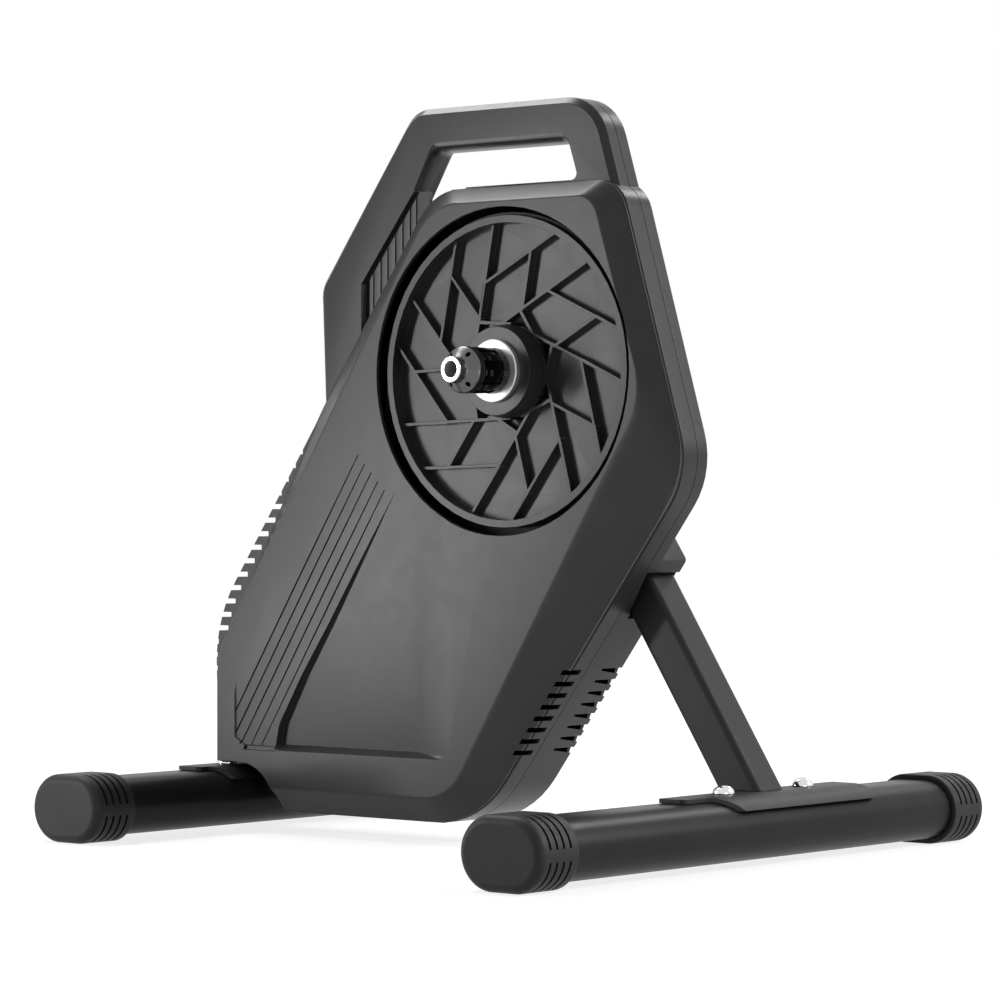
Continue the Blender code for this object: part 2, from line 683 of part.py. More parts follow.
def make_front_cover():
    base = SHELL_FRONT - GAP
    edge = cover_rings([(base, 0)], SEAM_EDGE)
    outer = [(base - SEAM_EDGE * MM, 0), (COVER_FACE + 3.6 * MM, 0.76), (COVER_FACE + 1 * MM, 0.93),
             (COVER_FACE, 1.06)]
    cover = solid("front_cover", loft(edge + cover_rings(outer)), MATERIALS["cover"])
    inner = [(SHELL_FRONT + MM, 0), (COVER_FACE + WALL + 3.6 * MM, 0.76), (COVER_FACE + WALL, 1.0)]
    space = solid("space", loft(cover_rings(inner, WALL / MM)), MATERIALS["cover"])
    keep_arch(space, COVER_FACE, 0)
    combine(cover, space)
    sink_panel(cover)
    groove_pad(cover)
    combine(cover, prism(circle(OPENING_RADIUS, steps=64), COVER_FACE - MM, 0))
    combine(cover, prism(rounded(FOOT_ARCH), COVER_FACE - MM, 0))
    cut_vents(cover, SHELL_FRONT - 3 * MM, 0)
    return bolt_relief(cover)


def domed(outline, bevel, start, side, face, back=0.0):
    """Rings of a shallow cover with bevelled edges: from its start, straight to side, then in to its face."""
    counts = arc_counts(outline)
    base = rounded(inset(outline, back), counts)
    top = rounded(inset(outline, bevel + back), counts)
    rings = [at_hub(base, start)]
    if side > start:
        rings.append(at_hub(base, side))
    for y, share in ((face - 2.5 * MM, 0.8), (face, 1)):
        rings.append(at_hub([low.lerp(high, share) for low, high in zip(base, top)], y))
    return loft(rings)


def make_rear_cover():
    lip = GAP / MM
    bevel = COVER_BEVEL - lip
    start = SHELL_REAR + GAP
    outer = domed(BODY, bevel, start, start, REAR_COVER_FACE, lip)
    cover = solid("rear_cover", outer, MATERIALS["housing"])
    inner = SHELL_REAR - MM
    combine(cover, domed(BODY, bevel, inner, inner, REAR_COVER_FACE - WALL, lip + WALL / MM))
    combine(cover, prism(offset(BULGE, -2 * GAP / MM), 0, BULGE_FACE))
    return combine(cover, prism(circle(REAR_BORE), 0, BULGE_FACE))


REAR_BORE = 28 * MM  # hole in the rear cover for the axle's end cap
BOSSES = ((-228, LOW + 201), (-238, LOW + 59), (-18, LOW + 54))
INLET = (-2, LOW + 77)
LAMP = (14, LOW + 99)
SOCKET_RADIUS = 7 * MM
LENS_RADIUS = 3 * MM


def pocket(target):
    """The scooped pocket in the right wall that the rear leg comes out of."""
    end = FRAME_Y + LEG_SIZE / 2 + LEG_ROOM
    rings = []
    for deep, high, low in ((0, *POCKET_START), (POCKET_DEPTH, POCKET_FULL, POCKET_FULL),
                            (POCKET_DEPTH, end, end)):
        rings.append([
            Vector((HUB_X + (right_wall(up) + d) * MM, y, HUB_HEIGHT + up * MM)) for up, d, y in (
                (POCKET_TOP, 10, high), (POCKET_LOW, 10, low), (POCKET_LOW, -deep, low),
                (POCKET_TOP, -deep, high))
        ])
    return combine(target, loft(rings))


def make_rear_housing():
    """The deep rear half of the housing: the body's outer walls behind the seam, then the bulge."""
    outer = domed(BULGE, BULGE_BEVEL, GAP / 2, BULGE_SIDE, BULGE_FACE)
    housing = solid("rear_housing", outer, MATERIALS["housing"])
    inner = domed(BULGE, BULGE_BEVEL, SHELL_REAR - MM, BULGE_SIDE, BULGE_FACE - WALL, WALL / MM)
    space = solid("space", inner, MATERIALS["housing"])
    combine(space, body_space(-MM, SHELL_REAR + GAP), "UNION")
    keep_arch(space, -2 * MM, BULGE_FACE)
    keep_fins(space, -2 * MM, SHELL_REAR + WALL)
    high, low = POCKET_TOP + WALL / MM, POCKET_LOW - WALL / MM
    keep = [(right_wall(up) - d, up) for up, d in ((high, -5), (low, -5), (low, 13), (high, 13))]
    combine(space, prism([Vector(corner) * MM for corner in keep], -2 * MM, BULGE_FACE))
    combine(housing, space)
    for x, z in BOSSES:
        combine(housing, prism(circle(6 * MM, x * MM, z * MM, 12), PLATE_BACK + GAP, BULGE_FACE - MM),
                "UNION")
    combine(housing, prism(rounded(FOOT_ARCH), -MM, BULGE_FACE + MM))
    combine(housing, prism(offset(PLATE, -1), -MM, PLATE_BACK + GAP))
    cut_fins(housing, -MM, SHELL_REAR)
    pocket(housing)
    room = LEG_SIZE / 2 + LEG_ROOM
    combine(housing, prism(leg_outline(LEG_ROOM), FRAME_Y - room, FRAME_Y + room))
    post = room / MM
    combine(housing, hub_box((POST_X / MM - post, FRAME_Y - room, ARCH_TOP - 19),
                             (POST_X / MM + post, FRAME_Y + room, (POST_TOP + LEG_ROOM) / MM)))
    cut_rear_vents(housing)
    combine(housing, prism(circle(SOCKET_RADIUS + GAP, INLET[0] * MM, INLET[1] * MM, 20), BULGE_SIDE,
                           BULGE_FACE + MM))
    combine(housing, prism(circle(LENS_RADIUS + GAP, LAMP[0] * MM, LAMP[1] * MM, 14), BULGE_SIDE,
                           BULGE_FACE + MM))
    return housing


def flange_bolt(name, x, z, radius, low, high, head, nut):
    """A bolt along Y with a low head behind and a nut in front, both clear of what they clamp."""
    profile = [
        (0, high + head), (radius * 1.7, high + head), (radius * 1.7, high), (radius, high),
        (radius, low), (radius * 1.6, low), (radius * 1.6, low - nut), (0, low - nut),
    ]
    return solid(name, turned(profile, x, z, 12, ring=False), MATERIALS["bright"])


def leg_bolt_places():
    return [Vector(LEG_TOP) + leg_direction() * distance * MM for distance in (10, 27)]


def post_bolt_places():
    return [Vector((POST_X, POST_TOP - distance * MM)) for distance in (14, 50)]


def square_tube(name, outline, front, back, wall, margin_end):
    """A tube seen from the side as a four-cornered outline, with rounded long edges and an open bore."""
    start_right, end_right, end_left, start_left = outline
    along = (end_right - start_right).normalized()
    across = (start_right - start_left).normalized()
    width = (start_right - start_left).length
    depth = back - front
    section = rounded([(width / 2, -depth / 2, LEG_CORNER), (width / 2, depth / 2, LEG_CORNER),
                       (-width / 2, depth / 2, LEG_CORNER), (-width / 2, -depth / 2, LEG_CORNER)], [3] * 4,
                       1)
    middle_y = (front + back) / 2

    def ring(centre, points):
        return [Vector((HUB_X + centre.x + across.x * p.x, middle_y + p.y,
                        HUB_HEIGHT + centre.y + across.y * p.x))
                for p in points]

    top, low = (start_right + start_left) / 2, (end_right + end_left) / 2
    tube = solid(name, loft([ring(top, section), ring(low, section)]), MATERIALS["steel"])
    bore = [p * ((width - 2 * wall) / width) for p in section]
    return combine(tube, loft([ring(top - along * margin_end, bore), ring(low + along * margin_end, bore)]))


def saddle_outline(x, grow):
    return stadium(TUBE_WIDTH + 2 * grow, TUBE_HEIGHT + 2 * grow, x, FOOT_MIDDLE, 14)


def make_leg():
    leg = square_tube("rear_leg", leg_outline(), FRAME_Y - LEG_SIZE / 2, FRAME_Y + LEG_SIZE / 2, LEG_WALL,
                      5 * MM)
    combine(leg, floor_prism(saddle_outline(HUB_X + REAR_FOOT_X, SADDLE_THICKNESS + 2 * GAP), -1, 1))
    for place in leg_bolt_places():
        combine(leg, prism(circle(LEG_BOLT_RADIUS + GAP, place.x, place.y, 12), 0, 0.1))
    return leg


def make_post():
    half = LEG_SIZE / 2
    low = FOOT_MIDDLE - HUB_HEIGHT
    outline = [Vector((POST_X + half, POST_TOP)), Vector((POST_X + half, low)), Vector((POST_X - half, low)),
               Vector((POST_X - half, POST_TOP))]
    post = square_tube("front_post", outline, FRAME_Y - half, FRAME_Y + half, LEG_WALL, 5 * MM)
    combine(post, floor_prism(saddle_outline(HUB_X + FRONT_FOOT_X, SADDLE_THICKNESS + 2 * GAP), -1, 1))
    for place in post_bolt_places():
        combine(post, prism(circle(LEG_BOLT_RADIUS + GAP, place.x, place.y, 12), 0, 0.1))
    return post


def foot_bolt_ys():
    return [FRAME_Y - FOOT_BOLT_SPACING / 2, FRAME_Y + FOOT_BOLT_SPACING / 2]


def make_saddle(name, x, shape):
    """The plate bent over a foot: a flat tongue at its near end, and flanges that start with a slanted cut."""
    near, far, tongue, widening = shape
    near, far = FRAME_Y + near, FRAME_Y + far
    grow = SADDLE_THICKNESS + GAP
    reach = math.radians(SADDLE_REACH)
    saddle = solid(name, floor_prism(saddle_outline(x, grow), near - MM, far + MM), MATERIALS["steel"])
    combine(saddle, floor_prism(saddle_outline(x, GAP), near - 2 * MM, far + 2 * MM))
    edge = FOOT_MIDDLE + (TUBE_HEIGHT / 2 + grow) * math.sin(reach)
    combine(saddle, box((x - TUBE_WIDTH, near - 2 * MM, -MM), (x + TUBE_WIDTH, far + 2 * MM, edge)))
    flat = (TUBE_WIDTH - TUBE_HEIGHT) / 2
    narrow, wide = flat + 2 * MM, flat + (TUBE_HEIGHT / 2 + grow) * math.cos(reach) + MM
    start, end = near + tongue, near + tongue + widening
    corners = (
        (-narrow, near, 4 * MM), (-narrow, start, MM), (-wide, end, MM), (-wide, far, 7 * MM),
        (wide, far, 7 * MM), (wide, end, MM), (narrow, start, MM), (narrow, near, 4 * MM),
    )
    plan = rounded(corners, [4, 2, 2, 4, 4, 2, 2, 4], 1)
    return combine(saddle, loft([[Vector((x + p.x, p.y, z)) for p in plan] for z in (0, 0.1)]), "INTERSECT")


def make_foot(prefix, x, length, shape):
    """A foot bar: its tube, two grooved caps, the saddle over it and two dome-headed bolts."""
    x += HUB_X
    tube_end = length / 2 - CAP_END - GAP
    tube = solid(prefix + "_foot_tube", floor_prism(stadium(TUBE_WIDTH, TUBE_HEIGHT, x, FOOT_MIDDLE, 10),
                                                    -tube_end, tube_end), MATERIALS["steel"])
    bore = stadium(TUBE_WIDTH - 2 * TUBE_WALL, TUBE_HEIGHT - 2 * TUBE_WALL, x, FOOT_MIDDLE, 10)
    combine(tube, floor_prism(bore, -length, length))
    saddle = make_saddle(prefix + "_saddle", x, shape)
    base = FOOT_MIDDLE + TUBE_HEIGHT / 2 + SADDLE_THICKNESS + 2 * GAP
    under = FOOT_MIDDLE + TUBE_HEIGHT / 2 - TUBE_WALL - GAP
    head = FOOT_BOLT_HEAD
    hole = FOOT_BOLT_RADIUS + GAP
    for number, y in enumerate(foot_bolt_ys(), 1):
        for target in (tube, saddle):
            combine(target, upright([(0, 0.1), (hole, 0.1), (hole, FOOT_MIDDLE), (0, FOOT_MIDDLE)],
                                    x, y, 12))
        dome = [(head * math.sin(math.radians(a)),
                 base + 0.8 * head * math.cos(math.radians(a))) for a in (0, 25, 50, 72)]
        profile = dome + [(head, base), (FOOT_BOLT_RADIUS, base), (FOOT_BOLT_RADIUS, under),
                          (FOOT_NUT_RADIUS, under),
                          (FOOT_NUT_RADIUS, under - FOOT_NUT_HEIGHT), (0, under - FOOT_NUT_HEIGHT)]
        solid(f"{prefix}_foot_bolt_{number}", upright(profile, x, y, 16), MATERIALS["bright"])
    for side, word in ((-1, "near"), (1, "far")):
        make_cap(f"{prefix}_foot_cap_{word}", x, side, length)


def cap_groove_outlines(x):
    """Cutters for the four quarters of a cap's round ends, clear of its middle height and of the floor."""
    floor = TUBE_HEIGHT / 2 + CAP_WALL - 2 * MM
    half = (TUBE_WIDTH - TUBE_HEIGHT) / 2
    middle = math.asin(CAP_GROOVE_GAP / 2 / floor)
    outlines = []
    for side in (1, -1):
        for up, last in ((1, math.pi / 2), (-1, math.asin((floor - 1.5 * MM) / floor))):
            points = []
            for k in range(4):
                turn = middle + (last - middle) * k / 3
                points.append((x + side * (half + floor * math.cos(turn)),
                               FOOT_MIDDLE + up * floor * math.sin(turn)))
            far = x + side * TUBE_WIDTH
            end = points[-1][1] if up < 0 else FOOT_MIDDLE + TUBE_HEIGHT
            if up > 0:
                points.append((points[-1][0], end))
            outlines.append(points + [(far, end), (far, points[0][1])])
    return outlines


def make_cap(name, x, side, length):
    """A rubber cap: a cup over the tube's end with a rounded rim and grooves above and below its middle."""
    end = side * length / 2

    def ring(shrink, depth):
        outline = stadium(TUBE_WIDTH + 2 * (CAP_WALL - shrink), TUBE_HEIGHT + 2 * (CAP_WALL - shrink), x,
                          FOOT_MIDDLE, 8)
        return [Vector((px, end - side * depth, pz)) for px, pz in outline]

    r = CAP_FILLET
    turns = [math.radians(degrees) for degrees in (0, 30, 60, 90)]
    rings = [ring(r * (1 - math.sin(turn)), r * (1 - math.cos(turn))) for turn in turns]
    rings += [ring(0, CAP_LENGTH - 1.5 * MM), ring(1.5 * MM, CAP_LENGTH)]
    cap = solid(name, loft(rings), MATERIALS["rubber"])
    seat = stadium(TUBE_WIDTH + 2 * GAP, TUBE_HEIGHT + 2 * GAP, x, FOOT_MIDDLE, 10)
    low, high = sorted((end - side * CAP_END, end - side * (CAP_LENGTH + MM)))
    combine(cap, floor_prism(seat, low, high))
    for k in range(4):
        middle = end - side * (10 * MM + CAP_GROOVE / 2 + k * CAP_GROOVE_PITCH)
        for quarter in cap_groove_outlines(x):
            combine(cap, floor_prism(quarter, middle - CAP_GROOVE / 2, middle + CAP_GROOVE / 2))
    return cap


def rib_lines():
    """The four ribs of one sector as lines: angle of the normal and distance from the hub axis."""
    return {
        "long": (117.15, 69.35 * MM), "tangent": (169.2, COLLAR_RADIUS),
        "short": (169.3, -5.2 * MM), "chord": (86.8, COLLAR_RADIUS + 0.9 * MM),
    }


def line_point(line, run):
    normal = math.radians(line[0])
    return Vector((line[1] * math.cos(normal) - run * math.sin(normal),
                   line[1] * math.sin(normal) + run * math.cos(normal)))


def crossing(line, other):
    """How far along the first line the second one crosses it."""
    between = math.radians(line[0] - other[0])
    return (line[1] * math.cos(between) - other[1]) / math.sin(between)


def turned_back(line, sectors):
    return (line[0] - 360 / SECTORS * sectors, line[1])


def wheel_ribs():
    """Ends of the ribs of one sector: each runs from the rim or another rib to the collar or another rib."""
    lines = rib_lines()
    inner = WHEEL_RADIUS - RIM_WALL + MM
    at_rim = {key: -math.sqrt(inner ** 2 - line[1] ** 2) for key, line in lines.items()}
    previous = turned_back(lines["tangent"], 1)
    return [
        (lines["long"], at_rim["long"], crossing(lines["long"], lines["tangent"])),
        (lines["tangent"], at_rim["tangent"], 0),
        (lines["short"], crossing(lines["short"], lines["long"]), crossing(lines["short"], previous)),
        (lines["chord"], 0, crossing(lines["chord"], lines["tangent"])),
    ]


def make_belt_wheel():
    """The wheel that carries the belt, with a slanting rib pattern, and the hub that it is bolted to."""
    inner = WHEEL_RADIUS - RIM_WALL
    bore = HUB_RADIUS + GAP
    wheel = solid("belt_wheel", turned([
        (bore, WHEEL_FLOOR), (inner, WHEEL_FLOOR), (inner, WHEEL_FRONT), (WHEEL_RADIUS, WHEEL_FRONT),
        (WHEEL_RADIUS, WHEEL_BACK), (inner, WHEEL_BACK), (inner, WHEEL_FLOOR + 3 * MM),
        (bore, WHEEL_FLOOR + 3 * MM),
    ], steps=56), MATERIALS["wheel"])
    half = RIB_WIDTH / 2
    ribs = None
    for sector in range(SECTORS):
        for line, start, end in wheel_ribs():
            line = turned_back(line, -sector)
            a, b = line_point(line, min(start, end) - half), line_point(line, max(start, end) + half)
            across = Vector((math.cos(math.radians(line[0])), math.sin(math.radians(line[0])))) * half
            rib = prism([a - across, b - across, b + across, a + across], RIB_FRONT, WHEEL_FLOOR + MM)
            ribs = combine(ribs, rib, "UNION") if ribs else solid("ribs", rib, MATERIALS["wheel"])
    combine(ribs, prism(circle(COLLAR_RADIUS + GAP), RIB_FRONT - MM, 0))
    combine(wheel, ribs, "UNION")
    hang_on(wheel, 0, WHEEL_FLOOR, 0)
    bore = BEARING_RADIUS + GAP
    hub = solid("wheel_hub", turned([
        (bore, COLLAR_FRONT), (COLLAR_RADIUS - MM, COLLAR_FRONT), (COLLAR_RADIUS, COLLAR_FRONT + MM),
        (COLLAR_RADIUS, WHEEL_FLOOR - GAP), (HUB_RADIUS, WHEEL_FLOOR - GAP), (HUB_RADIUS, HUB_BACK),
        (bore, HUB_BACK),
    ], steps=40), MATERIALS["wheel"])
    hang_on(hub, 0, COLLAR_FRONT, 0)


def bearing(name, inner, outer, front, back, x=0.0, z=0.0):
    """A sealed ball bearing, with a shallow seal between the races of its front face."""
    third, sunk = (outer - inner) / 3, 0.5 * MM
    profile = [
        (inner, front), (inner + third, front), (inner + third, front + sunk), (outer - third, front + sunk),
        (outer - third, front), (outer, front), (outer, back), (inner, back),
    ]
    return solid(name, turned(profile, x, z, 14), MATERIALS["bright"])


def make_hub():
    """The axle with its end caps and bearings, and what turns on it."""
    on_axle = AXLE_RADIUS + GAP
    axle_front = FREEHUB_FRONT - 0.6 * MM
    solid("axle", turned([
        (AXLE_BORE, axle_front), (AXLE_RADIUS, axle_front), (AXLE_RADIUS, AXLE_FLANGE_FRONT),
        (AXLE_FLANGE, AXLE_FLANGE_FRONT), (AXLE_FLANGE, PLATE_FRONT - GAP), (AXLE_THREAD, PLATE_FRONT - GAP),
        (AXLE_THREAD, AXLE_BACK), (AXLE_BORE, AXLE_BACK),
    ], steps=24), MATERIALS["bright"])
    cap_back = FREEHUB_FRONT - 0.9 * MM
    solid("drive_end_cap", turned([
        (AXLE_BORE, END_FRONT), (END_RADIUS - 0.5 * MM, END_FRONT), (END_RADIUS, END_FRONT + 0.5 * MM),
        (END_RADIUS, END_FRONT + 7 * MM), (11 * MM, END_FRONT + 10.5 * MM), (16.6 * MM, END_FRONT + 13 * MM),
        (17.4 * MM, END_FRONT + 14 * MM), (17.4 * MM, cap_back), (AXLE_BORE, cap_back),
    ]), MATERIALS["bright"])
    nut = prism(circle(AXLE_FLANGE, steps=6), PLATE_BACK + GAP, AXLE_NUT_BACK)
    combine(solid("axle_nut", nut, MATERIALS["bright"]), prism(circle(AXLE_THREAD + GAP, steps=24), 0, 1))
    cap_front = AXLE_BACK + GAP
    solid("rear_end_cap", turned([
        (AXLE_BORE, cap_front), (19 * MM, cap_front), (19 * MM, END_REAR - 16.7 * MM),
        (16 * MM, END_REAR - 12.7 * MM),
        (END_RADIUS, END_REAR - 7.7 * MM), (END_RADIUS, END_REAR), (AXLE_BORE, END_REAR),
    ], steps=24), MATERIALS["dark"])
    bearing("wheel_bearing_front", on_axle, BEARING_RADIUS, -27.5 * MM, -19.5 * MM)
    bearing("wheel_bearing_rear", on_axle, BEARING_RADIUS, HUB_BACK - 8.5 * MM, HUB_BACK - 0.2 * MM)
    bearing("freehub_bearing_front", on_axle, 11.2 * MM, FREEHUB_FRONT + 0.7 * MM, FREEHUB_FRONT + 6.7 * MM)
    bearing("freehub_bearing_rear", on_axle, 11.2 * MM, -46 * MM, -40 * MM)
    seal_front = FREEHUB_BACK + 0.4 * MM
    seal = solid("hub_seal_ring", turned([
        (SEAL_BORE, seal_front), (SEAL_RADIUS - MM, seal_front), (SEAL_RADIUS, seal_front + 0.8 * MM),
        (SEAL_RADIUS, COLLAR_FRONT - GAP), (SEAL_BORE, COLLAR_FRONT - GAP),
    ]), MATERIALS["bright"])
    hang_on(seal, 0, COLLAR_FRONT, 0)
    teeth = 18
    star = [Vector((r * math.cos(a), r * math.sin(a))) for k in range(teeth) for r, a in (
        (11.9 * MM, math.tau * k / teeth), (13.2 * MM, math.tau * (k + 0.25) / teeth))]
    ring = prism(circle(BEARING_RADIUS, steps=24), COLLAR_FRONT + GAP, -28 * MM)
    ratchet = combine(solid("ratchet_ring", ring, MATERIALS["bright"]), prism(star, -0.1, 0))
    hang_on(ratchet, 0, COLLAR_FRONT, 0)
    freehub = solid("freehub_body", turned([
        (11.5 * MM, FREEHUB_FRONT), (FREEHUB_RADIUS - 0.6 * MM, FREEHUB_FRONT),
        (FREEHUB_RADIUS, FREEHUB_FRONT + 0.6 * MM),
        (FREEHUB_RADIUS, FREEHUB_BACK), (12.2 * MM, FREEHUB_BACK), (12.2 * MM, COLLAR_FRONT),
        (11.6 * MM, COLLAR_FRONT),
        (11.6 * MM, -28.5 * MM), (9.3 * MM, -28.5 * MM), (9.3 * MM, -39.5 * MM), (11.5 * MM, -39.5 * MM),
    ], steps=36), MATERIALS["dark"])
    for k in range(9):
        turn = math.tau * k / 9
        out, side = Vector((math.cos(turn), math.sin(turn))), Vector((-math.sin(turn), math.cos(turn)))
        near, far, half = out * (FREEHUB_RADIUS - 1.2 * MM), out * 20 * MM, side * 1.6 * MM
        combine(freehub, prism([near - half, far - half, far + half, near + half], FREEHUB_FRONT - MM,
                               FREEHUB_BACK - 6 * MM))
    hang_on(freehub, 0, FREEHUB_BACK, 0)


def make_plate():
    """The steel plate that carries the axle, the flywheel, the brake and both legs."""
    plate = solid("frame_plate", prism(rounded(PLATE), PLATE_FRONT, PLATE_BACK), MATERIALS["steel"])
    combine(plate, prism(circle(22 * MM, FLYWHEEL_X, FLYWHEEL_Z, 24), -2.5 * MM, PLATE_FRONT + MM), "UNION")
    combine(plate, prism(circle(FLYWHEEL_BEARING + GAP, FLYWHEEL_X, FLYWHEEL_Z, 24), -0.1, 0.1))
    combine(plate, prism(circle(AXLE_THREAD + GAP, steps=24), -0.1, 0.1))
    for x, z in BOARD_POSTS:
        combine(plate, prism(circle(4 * MM, x * MM, z * MM, 8), PLATE_BACK - MM, BOARD_FRONT - GAP), "UNION")
    for place in leg_bolt_places() + post_bolt_places():
        combine(plate, prism(circle(LEG_BOLT_RADIUS + GAP, place.x, place.y, 12), -0.1, 0.1))
    combine(plate, prism(circle(PIVOT_RADIUS + GAP, PIVOT[0], PIVOT[1], 16), -0.1, 0.1))
    return plate


BOARD = ((-12, LOW + 107), (38, LOW + 187))
BOARD_FRONT = 19 * MM
BOARD_BACK = BOARD_FRONT + 1.6 * MM
BOARD_POSTS = tuple((x, z) for z in (LOW + 113, LOW + 181) for x in (-6, 32))
CHIPS = (((-4, LOW + 134), (16, LOW + 154), 3), ((22, LOW + 124), (32, LOW + 159), 9),
         ((-6, LOW + 161), (8, LOW + 171), 5))


def make_electronics():
    (x1, z1), (x2, z2) = BOARD
    board = solid("circuit_board", hub_box((x1, BOARD_FRONT, z1), (x2, BOARD_BACK, z2)), MATERIALS["board"])
    for low, high, thick in CHIPS:
        chip = hub_box((low[0], BOARD_FRONT + MM, low[1]), (high[0], BOARD_BACK + thick * MM, high[1]))
        combine(board, chip, "UNION")
    pin = 2.8 * MM
    rim = 9 * MM
    solid("power_inlet", turned([
        (0, BULGE_FACE - 8 * MM), (pin, BULGE_FACE - 8 * MM), (pin, BULGE_FACE + 1.5 * MM),
        (rim, BULGE_FACE + 1.5 * MM), (rim, BULGE_FACE + GAP), (SOCKET_RADIUS, BULGE_FACE + GAP),
        (SOCKET_RADIUS, BULGE_FACE - 14 * MM), (0, BULGE_FACE - 14 * MM),
    ], INLET[0] * MM, INLET[1] * MM, 20, ring=False), MATERIALS["rubber"])
    solid("status_light", turned([
        (0, BULGE_FACE + 0.8 * MM), (2 * MM, BULGE_FACE + 0.7 * MM),
        (LENS_RADIUS + 1.2 * MM, BULGE_FACE + GAP),
        (LENS_RADIUS, BULGE_FACE + GAP), (LENS_RADIUS, BULGE_FACE - 6 * MM), (0, BULGE_FACE - 6 * MM),
    ], LAMP[0] * MM, LAMP[1] * MM, 14, ring=False), MATERIALS["lens"])


def make_flywheel():
    x, z = FLYWHEEL_X, FLYWHEEL_Z
    on_shaft = SHAFT_RADIUS + GAP
    wheel = solid("flywheel", turned([
        (on_shaft, FLYWHEEL_FRONT), (FLYWHEEL_RADIUS, FLYWHEEL_FRONT), (FLYWHEEL_RADIUS, FLYWHEEL_BACK),
        (72 * MM, FLYWHEEL_BACK), (70 * MM, 27 * MM), (24 * MM, 27 * MM), (22 * MM, FLYWHEEL_BACK),
        (on_shaft, FLYWHEEL_BACK),
    ], x, z, 44), MATERIALS["iron"])
    hang_on(wheel, x, FLYWHEEL_FRONT, z)
    shaft = solid("flywheel_shaft", turned([
        (0, BELT_FRONT - 0.5 * MM), (SHAFT_RADIUS, BELT_FRONT - 0.5 * MM),
        (SHAFT_RADIUS, FLYWHEEL_BACK + MM),
        (0, FLYWHEEL_BACK + MM),
    ], x, z, 16, ring=False), MATERIALS["bright"])
    hang_on(shaft, x, 0, z)
    pulley = solid("flywheel_pulley", turned([
        (on_shaft, BELT_FRONT), (PULLEY_RADIUS, BELT_FRONT), (PULLEY_RADIUS, BELT_BACK + GAP),
        (PULLEY_RADIUS + 4 * MM, BELT_BACK + GAP), (PULLEY_RADIUS + 4 * MM, -3.6 * MM),
        (on_shaft, -3.6 * MM),
    ], x, z, 24), MATERIALS["dark"])
    hang_on(pulley, x, BELT_FRONT, z)
    bearing("flywheel_bearing_front", on_shaft, FLYWHEEL_BEARING, -2.3 * MM, 5 * MM, x, z)
    bearing("flywheel_bearing_rear", on_shaft, FLYWHEEL_BEARING, 6.3 * MM, PLATE_BACK - 0.2 * MM, x, z)


def belt_directions():
    """Angle from the hub to the flywheel, and how far to each side of it the belt leaves both wheels."""
    apart = Vector((FLYWHEEL_X, FLYWHEEL_Z))
    return math.atan2(apart.y, apart.x), math.acos((WHEEL_RADIUS - PULLEY_RADIUS) / apart.length)


def belt_outline(offset):
    towards, spread = belt_directions()
    points = []
    for radius, centre, start, end, steps in (
        (WHEEL_RADIUS + offset, Vector((0, 0)), towards + spread, towards - spread + math.tau, 40),
        (PULLEY_RADIUS + offset, Vector((FLYWHEEL_X, FLYWHEEL_Z)), towards - spread, towards + spread, 10),
    ):
        for k in range(steps + 1):
            turn = start + (end - start) * k / steps
            points.append(centre + Vector((math.cos(turn), math.sin(turn))) * radius)
    return points


def make_belt():
    belt = solid("drive_belt", prism(belt_outline(GAP + BELT_THICKNESS), BELT_FRONT, BELT_BACK),
                 MATERIALS["rubber"])
    return combine(belt, prism(belt_outline(GAP), BELT_FRONT - MM, BELT_BACK + MM))


IDLER_RUN = 110 * MM
PIVOT_RADIUS = 4 * MM
ARM_FRONT = -4.6 * MM
ARM_BACK = -0.8 * MM
ARM_LENGTH = 52 * MM


def idler_place():
    """The idler rolls on the outside of the belt's lower run."""
    towards, spread = belt_directions()
    out = Vector((math.cos(towards + spread), math.sin(towards + spread)))
    along = Vector((math.cos(towards), math.sin(towards)))
    along = (along - out * along.dot(out)).normalized()
    return out * (WHEEL_RADIUS + 2 * GAP + BELT_THICKNESS + IDLER_RADIUS) + along * IDLER_RUN


def pivot_place():
    towards, spread = belt_directions()
    idler = idler_place()
    back = math.radians(-20)
    return idler + Vector((math.cos(back), math.sin(back))) * ARM_LENGTH


IDLER = idler_place()
PIVOT = pivot_place()


def make_tensioner():
    along = (PIVOT - IDLER).normalized()
    lean = math.atan2(along.y, along.x)
    outline = []
    for centre, start, radius in ((PIVOT, -90, 10 * MM), (IDLER, 90, 8 * MM)):
        for k in range(9):
            turn = lean + math.radians(start + 180 * k / 8)
            outline.append(centre + Vector((math.cos(turn), math.sin(turn))) * radius)
    arm = solid("tensioner_arm", prism(outline, ARM_FRONT, ARM_BACK), MATERIALS["steel"])
    combine(arm, prism(circle(PIVOT_RADIUS + GAP, PIVOT.x, PIVOT.y, 16), -0.1, 0.1))
    combine(arm, prism(circle(4 * MM, IDLER.x, IDLER.y, 16), BELT_FRONT - 0.4 * MM, ARM_FRONT + MM), "UNION")
    hang_on(arm, PIVOT.x, ARM_FRONT, PIVOT.y)
    roller = solid("idler_roller", turned([
        (4 * MM + GAP, BELT_FRONT), (IDLER_RADIUS, BELT_FRONT), (IDLER_RADIUS, BELT_BACK),
        (4 * MM + GAP, BELT_BACK),
    ], IDLER.x, IDLER.y, 20), MATERIALS["dark"])
    hang_on(roller, IDLER.x, BELT_FRONT, IDLER.y)
    solid("tensioner_pivot", turned([
        (0, ARM_FRONT - 3.5 * MM), (7 * MM, ARM_FRONT - 3.5 * MM), (7 * MM, ARM_FRONT - GAP),
        (PIVOT_RADIUS, ARM_FRONT - GAP),
        (PIVOT_RADIUS, PLATE_BACK - MM), (0, PLATE_BACK - MM),
    ], PIVOT.x, PIVOT.y, 16, ring=False), MATERIALS["bright"])
    make_spring()


